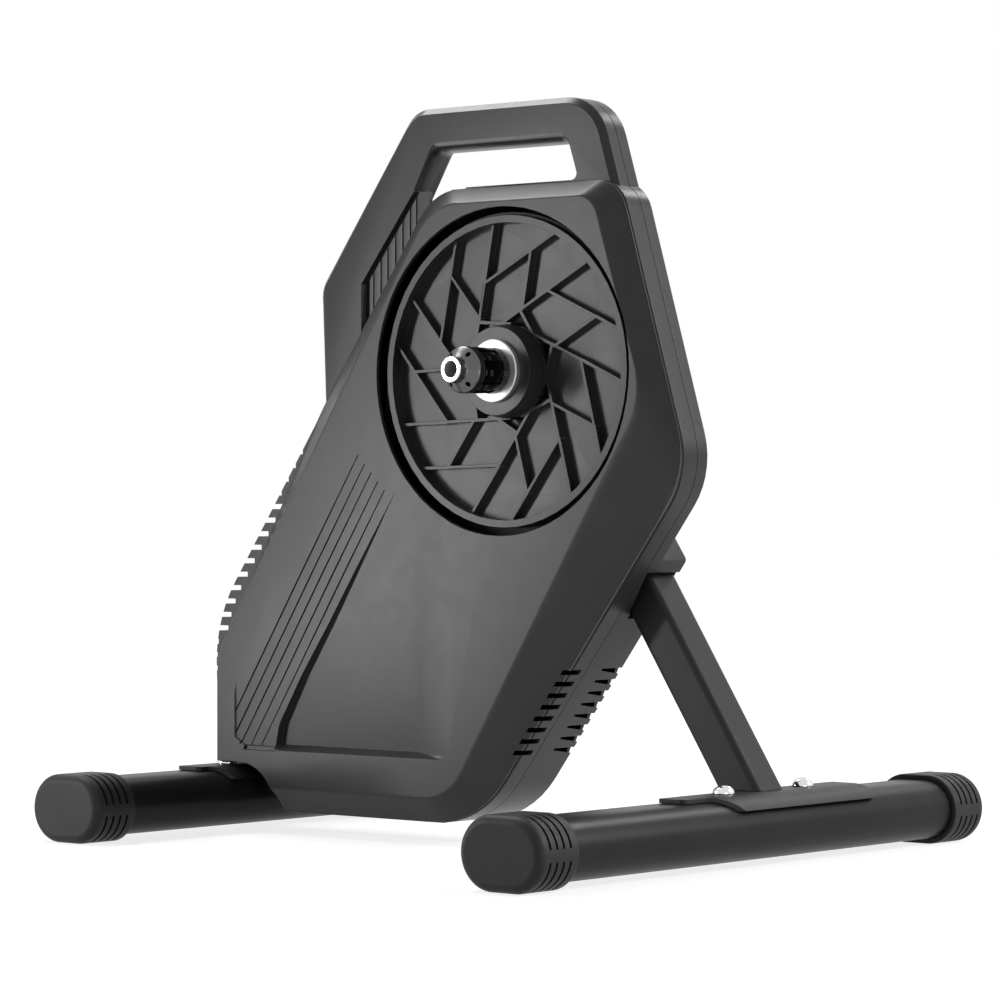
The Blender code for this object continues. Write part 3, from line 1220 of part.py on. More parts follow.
def make_spring():
    """A torsion spring round the tensioner's pivot, between the arm and the plate."""
    wire, turns, steps = 0.6 * MM, 2.5, 10
    low, high = ARM_BACK + GAP + wire, PLATE_FRONT - GAP - wire
    curve = bpy.data.curves.new("tensioner_spring", "CURVE")
    curve.dimensions = "3D"
    curve.bevel_depth = wire
    curve.bevel_resolution = 1
    curve.use_fill_caps = True
    count = int(turns * steps) + 1
    line = curve.splines.new("POLY")
    line.points.add(count - 1)
    for k, point in enumerate(line.points):
        turn = math.tau * k / steps
        y = low + (high - low) * k / (count - 1)
        point.co = (HUB_X + PIVOT.x + 6.5 * MM * math.cos(turn), y,
                    HUB_HEIGHT + PIVOT.y + 6.5 * MM * math.sin(turn), 1)
    made = bpy.data.objects.new("tensioner_spring", curve)
    bpy.context.scene.collection.objects.link(made)
    bpy.context.view_layer.update()
    mesh = bpy.data.meshes.new_from_object(made.evaluated_get(bpy.context.evaluated_depsgraph_get()))
    bpy.data.objects.remove(made)
    bm = bmesh.new()
    bm.from_mesh(mesh)
    bmesh.ops.remove_doubles(bm, verts=bm.verts, dist=0.01 * MM)
    bmesh.ops.recalc_face_normals(bm, faces=bm.faces)
    return solid("tensioner_spring", bm, MATERIALS["bright"])


def arc_band(inner, outer, start, end, steps):
    centre = Vector((FLYWHEEL_X, FLYWHEEL_Z))
    points = []
    for radius, turns in ((inner, range(steps + 1)), (outer, range(steps, -1, -1))):
        for k in turns:
            turn = math.radians(start + (end - start) * k / steps)
            points.append(centre + Vector((math.cos(turn), math.sin(turn))) * radius)
    return points


def radial_box(turn, inner, outer, half_width, front, back):
    centre = Vector((FLYWHEEL_X, FLYWHEEL_Z))
    out = Vector((math.cos(turn), math.sin(turn)))
    side = Vector((-out.y, out.x)) * half_width
    points = [centre + out * inner - side, centre + out * outer - side, centre + out * outer + side,
              centre + out * inner + side]
    return prism(points, front, back)


def make_brake():
    """The electromagnet: a curved core with three poles over the flywheel's rim, each in a coil."""
    air = 1.5 * MM
    pole = FLYWHEEL_RADIUS + air
    seat = pole + 6 * MM
    back = FLYWHEEL_BACK
    core = solid("brake_core", prism(arc_band(seat, seat + 7 * MM, 40, 112, 12), PLATE_BACK + GAP, back),
                 MATERIALS["steel"])
    for number, angle in enumerate((52, 76, 100), 1):
        turn = math.radians(angle)
        combine(core, radial_box(turn, pole, seat + 2 * MM, 6 * MM, FLYWHEEL_FRONT + 4 * MM, back - 5 * MM),
                "UNION")
        coil = solid(f"brake_coil_{number}", radial_box(turn, pole + 0.4 * MM, seat - 0.8 * MM, 10.5 * MM,
                                                        FLYWHEEL_FRONT, back - MM), MATERIALS["copper"])
        combine(coil, radial_box(turn, pole - MM, seat + MM, 6 * MM + GAP, FLYWHEEL_FRONT + 4 * MM - GAP,
                                 back - 5 * MM + GAP))
    return core


def make_bolts():
    for number, place in enumerate(leg_bolt_places(), 1):
        flange_bolt(f"leg_bolt_{number}", place.x, place.y, LEG_BOLT_RADIUS, PLATE_FRONT - GAP,
                    FRAME_Y + LEG_SIZE / 2 + GAP, 3.5 * MM, 4.5 * MM)
    for number, place in enumerate(post_bolt_places(), 1):
        flange_bolt(f"post_bolt_{number}", place.x, place.y, LEG_BOLT_RADIUS, PLATE_FRONT - GAP,
                    FRAME_Y + LEG_SIZE / 2 + GAP, 3.5 * MM, 4.5 * MM)


clear_scene()
MATERIALS = make_materials()
make_front_cover()
make_front_shell()
make_rear_shell()
make_rear_cover()
make_rear_housing()
make_plate()
make_leg()
make_post()
make_foot("rear", REAR_FOOT_X, REAR_FOOT_LENGTH, REAR_SADDLE)
make_foot("front", FRONT_FOOT_X, FRONT_FOOT_LENGTH, FRONT_SADDLE)
make_bolts()
make_belt_wheel()
make_hub()
make_belt()
make_flywheel()
make_tensioner()
make_brake()
make_electronics()
smooth_all()
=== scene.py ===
# %% [markdown]
# A direct-drive bicycle trainer, dressed for a picture.
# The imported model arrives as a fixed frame: every solid is already in its real place, in metres, with the
# floor at zero and the drive side facing -Y. The lesson adds camera, light, finishes and finer pieces.

import math

import bmesh
import bpy
from mathutils import Matrix, Quaternion, Vector


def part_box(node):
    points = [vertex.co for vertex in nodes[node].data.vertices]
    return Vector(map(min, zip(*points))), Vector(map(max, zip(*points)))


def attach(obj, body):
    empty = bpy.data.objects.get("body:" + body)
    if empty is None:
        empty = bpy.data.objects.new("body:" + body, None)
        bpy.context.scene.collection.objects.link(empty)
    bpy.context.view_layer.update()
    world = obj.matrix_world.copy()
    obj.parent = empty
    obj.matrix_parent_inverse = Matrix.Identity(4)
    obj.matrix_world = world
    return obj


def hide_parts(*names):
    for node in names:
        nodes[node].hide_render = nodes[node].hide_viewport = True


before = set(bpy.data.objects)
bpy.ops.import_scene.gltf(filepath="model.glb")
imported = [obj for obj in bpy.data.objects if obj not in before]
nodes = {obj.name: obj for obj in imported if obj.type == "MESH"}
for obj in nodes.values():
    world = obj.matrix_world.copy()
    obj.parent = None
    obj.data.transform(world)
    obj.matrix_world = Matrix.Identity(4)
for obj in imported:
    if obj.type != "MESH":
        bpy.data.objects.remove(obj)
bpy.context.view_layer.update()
MM = 0.001

# %% [markdown]
# The camera looks level at the object from its front right, through a long lens, as in a product
# picture. A long lens from far away keeps the upright lines upright. Its distance and its focal length were
# worked out from the picture's own proportions, so the render has the same framing.

# %% Camera
CAMERA_TURN = 40.1  # degrees
CAMERA_PLACE = (1.8665, -2.1898, 0.2600)  # metres
CAMERA_LENS = 137.34  # millimetres, like the sensor's width
SENSOR_WIDTH = 36

camera_data = bpy.data.cameras.new("camera")
camera_data.lens = CAMERA_LENS
camera_data.sensor_width = SENSOR_WIDTH
camera = bpy.data.objects.new("camera", camera_data)
camera.location = CAMERA_PLACE
camera.rotation_euler = (math.radians(90), 0, math.radians(CAMERA_TURN))
bpy.context.scene.collection.objects.link(camera)
bpy.context.scene.camera = camera
bpy.context.scene.view_settings.view_transform = "Standard"
print("camera placed, lens", camera_data.lens, "mm")

# %% [markdown]
# Every finish is a small graph of nodes, and a few helpers are enough to write one. The first turns a
# colour as it is read from a screen (sRGB hex) into the linear numbers that Blender calculates with. The
# second adds a node with its settings and its links in one call. A material always ends in one Principled
# shader.

# %% Helpers for materials
CLOUD_ENDS = (0.35, 0.65)  # the values of the noise where its two shades are reached


def colour(code):
    """A linear colour from sRGB hex, such as #5a5a5a."""
    parts = [int(code[i : i + 2], 16) / 255 for i in (1, 3, 5)]
    return (*[p / 12.92 if p <= 0.04045 else ((p + 0.055) / 1.055) ** 2.4 for p in parts], 1)


def add_node(tree, kind, inputs=None, **options):
    """Adds a node: options are its settings, inputs are values or sockets to link from."""
    node = tree.nodes.new(kind)
    for key, value in options.items():
        setattr(node, key, value)
    for socket, value in (inputs or {}).items():
        if isinstance(value, bpy.types.NodeSocket):
            tree.links.new(value, node.inputs[socket])
        else:
            node.inputs[socket].default_value = value
    return node


def start_material(name, **sockets):
    """A new material: its tree, its shader with the given socket values, and its Object coordinates."""
    made = bpy.data.materials.new(name)
    made.use_nodes = True
    tree = made.node_tree
    shader = tree.nodes["Principled BSDF"]
    for socket, value in sockets.items():
        shader.inputs[socket.replace("_", " ")].default_value = value
    place = add_node(tree, "ShaderNodeTexCoord").outputs["Object"]
    return made, tree, shader, place


def vary(tree, shader, place, dark, light, size):
    """Colour that wanders between two shades over patches of a size in metres."""
    noise = add_node(tree, "ShaderNodeTexNoise", {"Vector": place, "Scale": 1 / size, "Detail": 3})
    ramp = add_node(tree, "ShaderNodeValToRGB", {"Fac": noise.outputs["Fac"]})
    for element, position, shade in zip(ramp.color_ramp.elements, CLOUD_ENDS, (dark, light)):
        element.position = position
        element.color = colour(shade)
    tree.links.new(ramp.outputs["Color"], shader.inputs["Base Color"])
    return noise


def spread(tree, shader, source, low, high):
    """Roughness that follows a pattern, from low to high."""
    span = {"Value": source.outputs["Fac"], "To Min": low, "To Max": high}
    steps = add_node(tree, "ShaderNodeMapRange", span)
    tree.links.new(steps.outputs["Result"], shader.inputs["Roughness"])


def raise_up(tree, shader, height, strength, depth):
    """Bump from a height socket, of a depth in millimetres."""
    bump = add_node(
        tree, "ShaderNodeBump", {"Height": height, "Strength": strength, "Distance": depth * MM}
    )
    tree.links.new(bump.outputs["Normal"], shader.inputs["Normal"])


def noise_of(tree, place, size, detail):
    """Noise whose grains have a size in millimetres."""
    return add_node(
        tree, "ShaderNodeTexNoise", {"Vector": place, "Scale": 1 / (size * MM), "Detail": detail}
    )


print("helpers ready")

# %% [markdown]
# The housing is moulded plastic with a spark-eroded texture: the steel mould is pitted by sparks, so the
# parts come out with a fine, even pebble that scatters light and hides scratches. The real pebble is about
# 0.15 mm; here it is drawn at 0.7 mm, because anything finer would vanish between two pixels. Pitted
# plastic throws back less of a mirror image than polished plastic does, so its specular level is low.

# %% Moulded plastics


def moulded_plastic(name, dark, light, roughness, specular, grain=0.7, depth=0.02):
    """Matt plastic with an eroded pebble: an even grey whose sheen breaks up close by."""
    made, tree, shader, place = start_material(name, Specular_IOR_Level=specular)
    vary(tree, shader, place, dark, light, 0.045)
    pebble = noise_of(tree, place, grain, 3)
    raise_up(tree, shader, pebble.outputs["Fac"], 0.3, depth)
    flow = noise_of(tree, place, 12, 4)
    spread(tree, shader, flow, roughness - 0.03, roughness + 0.04)
    return made


cover_abs = moulded_plastic("moulded_abs_cover", "#3d3d3e", "#414142", 0.3, 0.2)
shell_abs = moulded_plastic("moulded_abs_shell", "#38383a", "#3c3c3e", 0.28, 0.2)
wheel_nylon = moulded_plastic("glass_filled_nylon", "#3e3e3f", "#434344", 0.29, 0.2, 1.1)
socket_nylon = moulded_plastic("black_nylon", "#1c1c1d", "#222223", 0.45, 0.4)
print("moulded plastics:", cover_abs.name, shell_abs.name, wheel_nylon.name, socket_nylon.name)

# %% [markdown]
# The foot bars are steel tube under black paint, which dries with a slight wave called orange peel, about
# 2 mm from crest to crest. The slanted leg and the saddle plates carry a satin powder coat: powder that is
# melted on in an oven, duller, with a finer and rougher skin.

# %% Painted steel


def painted_steel(name, dark, light, roughness, wave, depth, specular):
    """Paint over steel: a smooth film whose reflections waver with the orange peel."""
    made, tree, shader, place = start_material(name, Specular_IOR_Level=specular)
    vary(tree, shader, place, dark, light, 0.06)
    peel = noise_of(tree, place, wave, 2)
    raise_up(tree, shader, peel.outputs["Fac"], 0.3, depth)
    dust = noise_of(tree, place, 18, 5)
    spread(tree, shader, dust, roughness - 0.04, roughness + 0.05)
    return made


tube_paint = painted_steel("black_tube_paint", "#262627", "#2b2b2c", 0.34, 2.2, 0.02, 0.1)
powder_coat = painted_steel("satin_powder_coat", "#242425", "#2a2a2b", 0.45, 0.9, 0.04, 0.2)
cast_paint = painted_steel("painted_casting", "#1b1b1c", "#202021", 0.5, 3.0, 0.15, 0.4)
print("painted steel:", tube_paint.name, powder_coat.name, cast_paint.name)

# %% [markdown]
# The foot caps and the belt are black rubber. Rubber has no gloss of its own, only a faint sheen over a fine
# grain that the mould left.

# %% Rubber


def rubber(name, dark, light, roughness, specular):
    """Vulcanised rubber: near black, soft sheen, a fine moulded grain."""
    made, tree, shader, place = start_material(name, Specular_IOR_Level=specular)
    vary(tree, shader, place, dark, light, 0.02)
    grain = noise_of(tree, place, 0.8, 6)
    raise_up(tree, shader, grain.outputs["Fac"], 0.35, 0.05)
    spread(tree, shader, grain, roughness - 0.05, roughness + 0.06)
    return made


foot_rubber = rubber("moulded_foot_rubber", "#2a2a2b", "#303031", 0.5, 0.2)
belt_rubber = rubber("belt_rubber", "#1a1a1a", "#222222", 0.55, 0.3)
print("rubber:", foot_rubber.name, belt_rubber.name)

# %% [markdown]
# Bare metals: aluminium turned on a lathe keeps fine rings round its axis, chrome is a mirror, bearing
# steel is ground, and the flywheel is turned iron. The rings come from the distance to the axis through a
# wave. They run about 0.1 mm apart on the real part and are drawn 0.5 mm apart so that they show.

# %% Bare metals
HUB = Vector((0.047, 0, 0.3554))


def turned_metal(name, shade, roughness, axis, pitch=0.5, depth=0.004, metallic=1.0):
    """Metal from a lathe: bright streaks that follow rings round the turning axis."""
    made, tree, shader, place = start_material(name, Metallic=metallic, Base_Color=colour(shade))
    centred = add_node(
        tree,
        "ShaderNodeMapping",
        {"Vector": place, "Location": (-axis.x, 0, -axis.z)},
        vector_type="POINT",
    )
    rings = add_node(
        tree,
        "ShaderNodeTexWave",
        {"Vector": centred.outputs["Vector"], "Scale": 1 / (2 * math.pi * pitch * MM), "Distortion": 0.4},
        wave_type="RINGS",
        rings_direction="Y",
    )
    raise_up(tree, shader, rings.outputs["Fac"], 0.25, depth)
    spread(tree, shader, rings, roughness - 0.04, roughness + 0.06)
    return made


def plain_metal(name, dark, light, roughness, metallic=1.0):
    """Ground or plated metal: one even tone with faint clouds in its polish."""
    made, tree, shader, place = start_material(name, Metallic=metallic)
    noise = vary(tree, shader, place, dark, light, 0.008)
    spread(tree, shader, noise, roughness * 0.8, roughness * 1.3)
    return made


FLYWHEEL_AXIS = HUB + Vector((-0.125, 0, -0.215))
turned_aluminium = turned_metal("turned_aluminium", "#d4d4d6", 0.16, HUB)
brushed_steel = turned_metal("brushed_steel", "#c4c4c6", 0.42, HUB)
# the cone's darker grey is painted shade, a painted dark reflection on the same turned aluminium as the nose
cone_painted_dark = turned_metal("turned_cone_painted_dark_reflection", "#5e5e5f", 0.28, HUB)
blasted = plain_metal("bead_blasted_alloy", "#a8a8aa", "#b4b4b6", 0.6, metallic=0.2)
anodised = turned_metal("black_anodised_aluminium", "#121213", 0.2, HUB, metallic=0.6)
iron = turned_metal("turned_iron", "#8d8d8f", 0.38, FLYWHEEL_AXIS)
chrome = plain_metal("chrome_plate", "#d8d8da", "#e2e2e4", 0.07)
bearing_steel = plain_metal("ground_bearing_steel", "#b4b4b8", "#c2c2c5", 0.2)
lamination = plain_metal("laminated_core_steel", "#3b3b40", "#4a4a4e", 0.45)
copper = plain_metal("enamelled_copper", "#a4552c", "#b8643a", 0.3)
print("metals:", turned_aluminium.name, anodised.name, iron.name, chrome.name, bearing_steel.name)

# %% [markdown]
# Inside sit a circuit board under green solder mask and, behind, a small light under a milky lens.

# %% Board and lens


def solder_mask(name):
    """Glass-fibre board under green lacquer, with faint copper tracks below it."""
    made, tree, shader, place = start_material(name, Roughness=0.3)
    tracks = add_node(
        tree,
        "ShaderNodeTexBrick",
        {
            "Vector": place,
            "Scale": 1 / (9 * MM),
            "Mortar Size": 0.06,
            "Color1": colour("#0e4a26"),
            "Color2": colour("#11522b"),
            "Mortar": colour("#1b6b3b"),
        },
    )
    tree.links.new(tracks.outputs["Color"], shader.inputs["Base Color"])
    return made


def milky_lens(name):
    """Clear plastic clouded by a diffuser, with faint moulding swirls."""
    made, tree, shader, place = start_material(name, Roughness=0.2)
    vary(tree, shader, place, "#c2c7cc", "#cfd4d8", 0.003)
    return made


board_green = solder_mask("green_solder_mask")
lens_milk = milky_lens("milky_polycarbonate")
print("board and lens ready")

# %% [markdown]
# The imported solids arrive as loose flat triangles, which is right for measuring but shows every facet. Each
# outer solid is therefore copied, its triangles are welded and merged back into whole faces, its crisp edges
# get a small real radius, as every moulded or pressed part has, and the smooth faces are shaded smooth. Two
# copies are reshaped a little where the picture shows it: the wheel's web and the cover's back rim.

# %% Pieces and finer copies
WELD = 0.004 * MM
FLAT = math.radians(0.6)
CRISP = math.radians(32)
SHORTEST = 1.2 * MM
EDGE_STEPS = 2


def piece(name, bm, finish, body, replaced=(), angle=35):
    """Makes an object of a bmesh, shades it, and ties it to the body and the solids it stands for."""
    mesh = bpy.data.meshes.new(name)
    bm.to_mesh(mesh)
    bm.free()
    made = bpy.data.objects.new(name, mesh)
    bpy.context.scene.collection.objects.link(made)
    mesh.materials.append(finish)
    mesh.shade_smooth()
    mesh.set_sharp_from_angle(angle=math.radians(angle))
    weighted = made.modifiers.new("even shading", "WEIGHTED_NORMAL")
    weighted.keep_sharp = True
    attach(made, body)
    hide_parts(*replaced)
    return made


def welded(node):
    """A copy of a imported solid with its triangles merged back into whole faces."""
    bm = bmesh.new()
    bm.from_mesh(nodes[node].data)
    bmesh.ops.remove_doubles(bm, verts=bm.verts, dist=WELD)
    bmesh.ops.dissolve_limit(bm, angle_limit=FLAT, verts=bm.verts, edges=bm.edges)
    return bm


def inside(place, low, high):
    """Whether a place lies in a box."""
    return all(a <= p <= b for a, p, b in zip(low, place, high))


def soften(bm, edge, crowded=None):
    """Rounds the crisp edges by a radius in millimetres, but no tiny edge and none in the crowded box."""
    crisp = [
        e
        for e in bm.edges
        if e.is_manifold and e.calc_face_angle() > CRISP and e.calc_length() > SHORTEST
    ]
    if crowded:
        crisp = [e for e in crisp if not inside((e.verts[0].co + e.verts[1].co) / 2, *crowded)]
    bmesh.ops.bevel(
        bm,
        geom=crisp,
        offset=edge * MM,
        offset_type="OFFSET",
        segments=EDGE_STEPS,
        profile=0.5,
        affect="EDGES",
        clamp_overlap=False,
        material=-1,
    )


# node, finish, body, slot, edge radius in millimetres
FINER = (
    ("front_cover", cover_abs, "frame", "cover", 0.35),
    ("front_shell", shell_abs, "frame", "housing", 0.3),
    ("rear_shell", shell_abs, "frame", "housing", 0.3),
    ("rear_cover", shell_abs, "frame", "housing", 0.3),
    ("rear_housing", shell_abs, "frame", "housing", 0.3),
    ("rear_leg", powder_coat, "frame", "painted_steel", 0.0),
    ("front_post", powder_coat, "frame", "painted_steel", 0.0),
    ("rear_foot_tube", tube_paint, "frame", "painted_steel", 0.0),
    ("front_foot_tube", tube_paint, "frame", "painted_steel", 0.0),
    ("rear_saddle", powder_coat, "frame", "painted_steel", 0.3),
    ("front_saddle", powder_coat, "frame", "painted_steel", 0.3),
    ("belt_wheel", wheel_nylon, "belt_wheel_group", "wheel", 0.25),
    ("rear_end_cap", anodised, "frame", "black_alloy", 0.0),
    ("power_inlet", socket_nylon, "frame", "socket", 0.2),
)
SLATS = ((-0.106, -0.0158, 0.37), (0.0, -0.006, 0.505))  # metres: the box of thin slats, left crisp

# millimetres: the web's two faces and the cover's rim along the axis, the web's ring by its radii
WEB_SIDES = (-9, -6)
WEB_RING = (35, 111.5)
WEB_LIFT = -5.2
WEB_SLACK = 0.03
SEAM_RIM = -17.1
SEAM_GAP = -1.2


def lift_web(bm):
    """Raises the wheel's web: the picture shows it nearer to the ribs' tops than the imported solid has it."""
    for vert in bm.verts:
        out = math.hypot(vert.co.x - HUB.x, vert.co.z - HUB.z) / MM
        on_web = any(abs(vert.co.y / MM - side) < WEB_SLACK for side in WEB_SIDES)
        if on_web and WEB_RING[0] < out < WEB_RING[1]:
            vert.co.y += WEB_LIFT * MM


def open_seam(bm):
    """Draws the cover's back rim forward, so that the dark joint behind it shows as a line."""
    for vert in bm.verts:
        if vert.co.y > SEAM_RIM * MM:
            vert.co.y += SEAM_GAP * MM


RESHAPED = {"belt_wheel": lift_web, "front_cover": open_seam}
for node, finish, body, slot, edge in FINER:
    bm = welded(node)
    if node in RESHAPED:
        RESHAPED[node](bm)
    if edge:
        soften(bm, edge, SLATS if node == "front_shell" else None)
    made = piece(node + "_fine", bm, finish, body, [node])
    print(made.name, len(made.data.polygons), "faces")

# %% [markdown]
# The rubber caps are the roundest things in the picture, so they are built afresh. A circle is pulled apart
# into the tube's own outline with two round ends, extruded to the cap's length, hollowed from behind and
# rounded in front. Planes then cut its skin where the grooves begin and end, and the skin between them is
# pushed in.

# %% Foot caps
CAP_WALL = 3.7 * MM
CAP_FLOOR = 7 * MM
CAP_ROUNDING = 6.5 * MM
CAP_ROUNDING_STEPS = 7
CAP_GROOVES = 4
CAP_FIRST_GROOVE = 10 * MM
CAP_GROOVE_PITCH = 7.1 * MM
CAP_GROOVE_WIDTH = 2.2 * MM
CAP_GROOVE_DEPTH = 2 * MM
CAP_GROOVE_GAP = 8 * MM
CAP_SOLE = 1.5 * MM
CAP_LIP = 1.2 * MM
CAP_LIP_STEPS = 3
CAP_SEGMENTS = 96
SKIN_SHARE = 0.97  # a face further out than this share of the radius belongs to the skin


def cut_planes(bm, places):
    """Cuts the whole mesh, without removing anything, at places along the Y axis."""
    normal = Vector((0, 1, 0))
    for place in places:
        everything = bm.verts[:] + bm.edges[:] + bm.faces[:]
        bmesh.ops.bisect_plane(
            bm, geom=everything, dist=1e-7, plane_co=normal * place, plane_no=normal
        )


def sink(bm, faces, depth, outward):
    """Pushes a region of faces in by a depth, against the outward direction at each of its points."""
    grown = bmesh.ops.extrude_face_region(bm, geom=faces)["geom"]
    for vert in [g for g in grown if isinstance(g, bmesh.types.BMVert)]:
        vert.co -= outward(vert.co) * depth
    bmesh.ops.delete(bm, geom=[f for f in faces if f.is_valid], context="FACES")


def foot_cap(node):
    """A grooved rubber cap in the place of a solid."""
    low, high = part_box(node)
    side = 1 if high.y > 0 else -1
    radius = (high.z - low.z) / 2
    flat = (high.x - low.x) / 2 - radius
    middle = Vector(((low.x + high.x) / 2, 0, low.z + radius))
    end, back = (high.y, low.y) if side > 0 else (low.y, high.y)

    def outward(place):
        return Vector((place.x - math.copysign(flat, place.x), 0, place.z)).normalized()

    def at_back():
        return [f for f in bm.faces if all(abs(v.co.y - back) < WELD for v in f.verts)]

    bm = bmesh.new()
    bmesh.ops.create_circle(bm, cap_ends=True, segments=CAP_SEGMENTS, radius=radius)
    bmesh.ops.rotate(bm, verts=bm.verts, matrix=Matrix.Rotation(math.pi / CAP_SEGMENTS, 3, "Z"))
    bmesh.ops.rotate(bm, verts=bm.verts, matrix=Matrix.Rotation(math.radians(90), 3, "X"))
    for vert in bm.verts:
        vert.co += Vector((math.copysign(flat, vert.co.x), back, 0))
    grown = bmesh.ops.extrude_face_region(bm, geom=bm.faces[:], use_keep_orig=True)["geom"]
    front = [g for g in grown if isinstance(g, bmesh.types.BMFace)]
    bmesh.ops.translate(bm, verts=front[0].verts[:], vec=(0, end - back, 0))
    bmesh.ops.recalc_face_normals(bm, faces=bm.faces)
    rims = (
        (front[0].edges[:], CAP_ROUNDING, CAP_ROUNDING_STEPS),
        (at_back()[0].edges[:], CAP_LIP, CAP_LIP_STEPS),
    )
    for edges, offset, steps in rims:
        bmesh.ops.bevel(
            bm, geom=edges, offset=offset, segments=steps, profile=0.5, affect="EDGES", material=-1
        )
    bmesh.ops.inset_region(bm, faces=at_back(), thickness=CAP_WALL - CAP_LIP)
    mouth = max(at_back(), key=lambda face: face.calc_area())
    sink(bm, [mouth], abs(end - back) - CAP_FLOOR, lambda place: Vector((0, -side, 0)))
    grooves = []
    for k in range(CAP_GROOVES):
        start = end - side * (CAP_FIRST_GROOVE + k * CAP_GROOVE_PITCH)
        grooves.append(sorted((start, start - side * CAP_GROOVE_WIDTH)))
    cut_planes(bm, [y for pair in grooves for y in pair])
    chosen = []
    for face in bm.faces:
        centre = face.calc_center_median()
        on_skin = math.hypot(abs(centre.x) - flat, centre.z) > radius * SKIN_SHARE
        at_end = abs(centre.x) > flat and abs(centre.z) > CAP_GROOVE_GAP / 2
        on_side = at_end and centre.z > CAP_SOLE - radius
        if on_skin and on_side and any(a < centre.y < b for a, b in grooves):
            chosen.append(face)
    sink(bm, chosen, CAP_GROOVE_DEPTH, outward)
    bmesh.ops.translate(bm, verts=bm.verts, vec=middle)
    bmesh.ops.recalc_face_normals(bm, faces=bm.faces)
    return piece(node + "_fine", bm, foot_rubber, "frame", [node])


for foot in ("rear", "front"):
    for word in ("near", "far"):
        made = foot_cap(f"{foot}_foot_cap_{word}")
        print(made.name, len(made.data.polygons), "faces")

# %% [markdown]
# The carriage bolts through the feet have domed chrome heads. One side of a bolt's outline is spun round its
# axis, as a lathe would cut it.

# %% Chrome bolts
BOLT_STEPS = 48
DOME_STEPS = 12
RIM_CHAMFER = 0.2 * MM
RIM_HEIGHT = 0.6 * MM
NUT_HEIGHT = 4 * MM

# shares of the head's radius
DOME_HEIGHT = 0.8
NUT_RADIUS = 0.8
SHANK_RADIUS = 0.5


def spun(profile, centre, axis, steps, start=0.0):
    """A solid turned about an axis through centre, from (radius, place along the axis) points in metres."""
    bm = bmesh.new()
    across = Vector((math.cos(math.radians(start)), 0, math.sin(math.radians(start))))
    points = [bm.verts.new(centre + across * radius + axis * along) for radius, along in profile]
    lines = [bm.edges.new(pair) for pair in zip(points, points[1:])]
    if profile[0][0] > 0:
        lines.append(bm.edges.new((points[-1], points[0])))
    bmesh.ops.spin(
        bm, geom=points + lines, cent=centre, axis=axis, angle=math.tau, steps=steps, use_merge=True
    )
    bmesh.ops.remove_doubles(bm, verts=bm.verts, dist=WELD)
    bmesh.ops.recalc_face_normals(bm, faces=bm.faces)
    return bm


def dome_bolt(node):
    """A carriage bolt: a dome with a thin flat rim, over a plain shank and a nut."""
    low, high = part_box(node)
    centre = Vector(((low.x + high.x) / 2, (low.y + high.y) / 2, 0))
    head = (high.x - low.x) / 2
    nut, shank = NUT_RADIUS * head, SHANK_RADIUS * head
    base = high.z - DOME_HEIGHT * head
    dome_start = base + RIM_HEIGHT
    profile = [(0, low.z), (nut, low.z), (nut, low.z + NUT_HEIGHT), (shank, low.z + NUT_HEIGHT)]
    profile += [(shank, base), (head - RIM_CHAMFER, base), (head, base + RIM_CHAMFER), (head, dome_start)]
    for k in range(1, DOME_STEPS + 1):
        turn = math.radians(90 * k / DOME_STEPS)
        profile.append((head * math.cos(turn), dome_start + (high.z - dome_start) * math.sin(turn)))
    profile[-1] = (0, high.z)
    bm = spun(profile, centre, Vector((0, 0, 1)), BOLT_STEPS)
    return piece(node + "_fine", bm, chrome, "frame", [node])


for foot in ("rear", "front"):
    for number in (1, 2):
        made = dome_bolt(f"{foot}_foot_bolt_{number}")
        print(made.name, len(made.data.polygons), "faces")

# %% [markdown]
# What sits round the axle is round too, so it is spun from one side of its outline. The wheel's hub is a
# moulded collar, the seal ring a bright pressed cup, and the freehub body carries nine ridges that the
# sprockets slide over. The grooves between the ridges are pushed in after the spin, where planes have cut
# the skin. The outlines are pairs of millimetres: the radius, and the place along the axis.

# %% Hub
HUB_STEPS = 144
HUB_SHARP = 28  # degrees
FORWARD = Vector((0, 1, 0))
COLLAR = (
    (17.7, -34), (32.5, -34), (32.8, -33.9), (33.0, -33.6), (34.6, -26), (34.6, -14.4), (30, -14.4),
    (30, 2), (17.7, 2),
)
SEAL = (
    (12.5, -37.2), (14.0, -37.2), (14.6, -38.4), (22.2, -38.4), (22.8, -38.2), (23.2, -37.8),
    (23.3, -37.2), (23.3, -34.2), (12.5, -34.2),
)


def spun_about_hub(outline, start=0.0):
    """A solid turned about the hub's axis."""
    profile = [(radius * MM, along * MM) for radius, along in outline]
    return spun(profile, HUB, FORWARD, HUB_STEPS, start)


for name, outline, finish, body, slot in (
    ("wheel_hub", COLLAR, wheel_nylon, "belt_wheel_group", "wheel"),
    ("hub_seal_ring", SEAL, brushed_steel, "belt_wheel_group", "machined_alloy"),
):
    bm = spun_about_hub(outline)
    made = piece(name + "_fine", bm, finish, body, [name], angle=HUB_SHARP)
    print(made.name, len(made.data.polygons), "faces")

# %% Freehub body
FREEHUB = (
    (11.5, -66.7), (16.6, -66.7), (17.15, -66.1), (17.15, -38.8), (12.2, -38.8), (12.2, -34),
    (11.6, -34), (11.6, -28.5), (9.3, -28.5), (9.3, -39.5), (11.5, -39.5),
)
FREEHUB_SKIN = 16.9 * MM

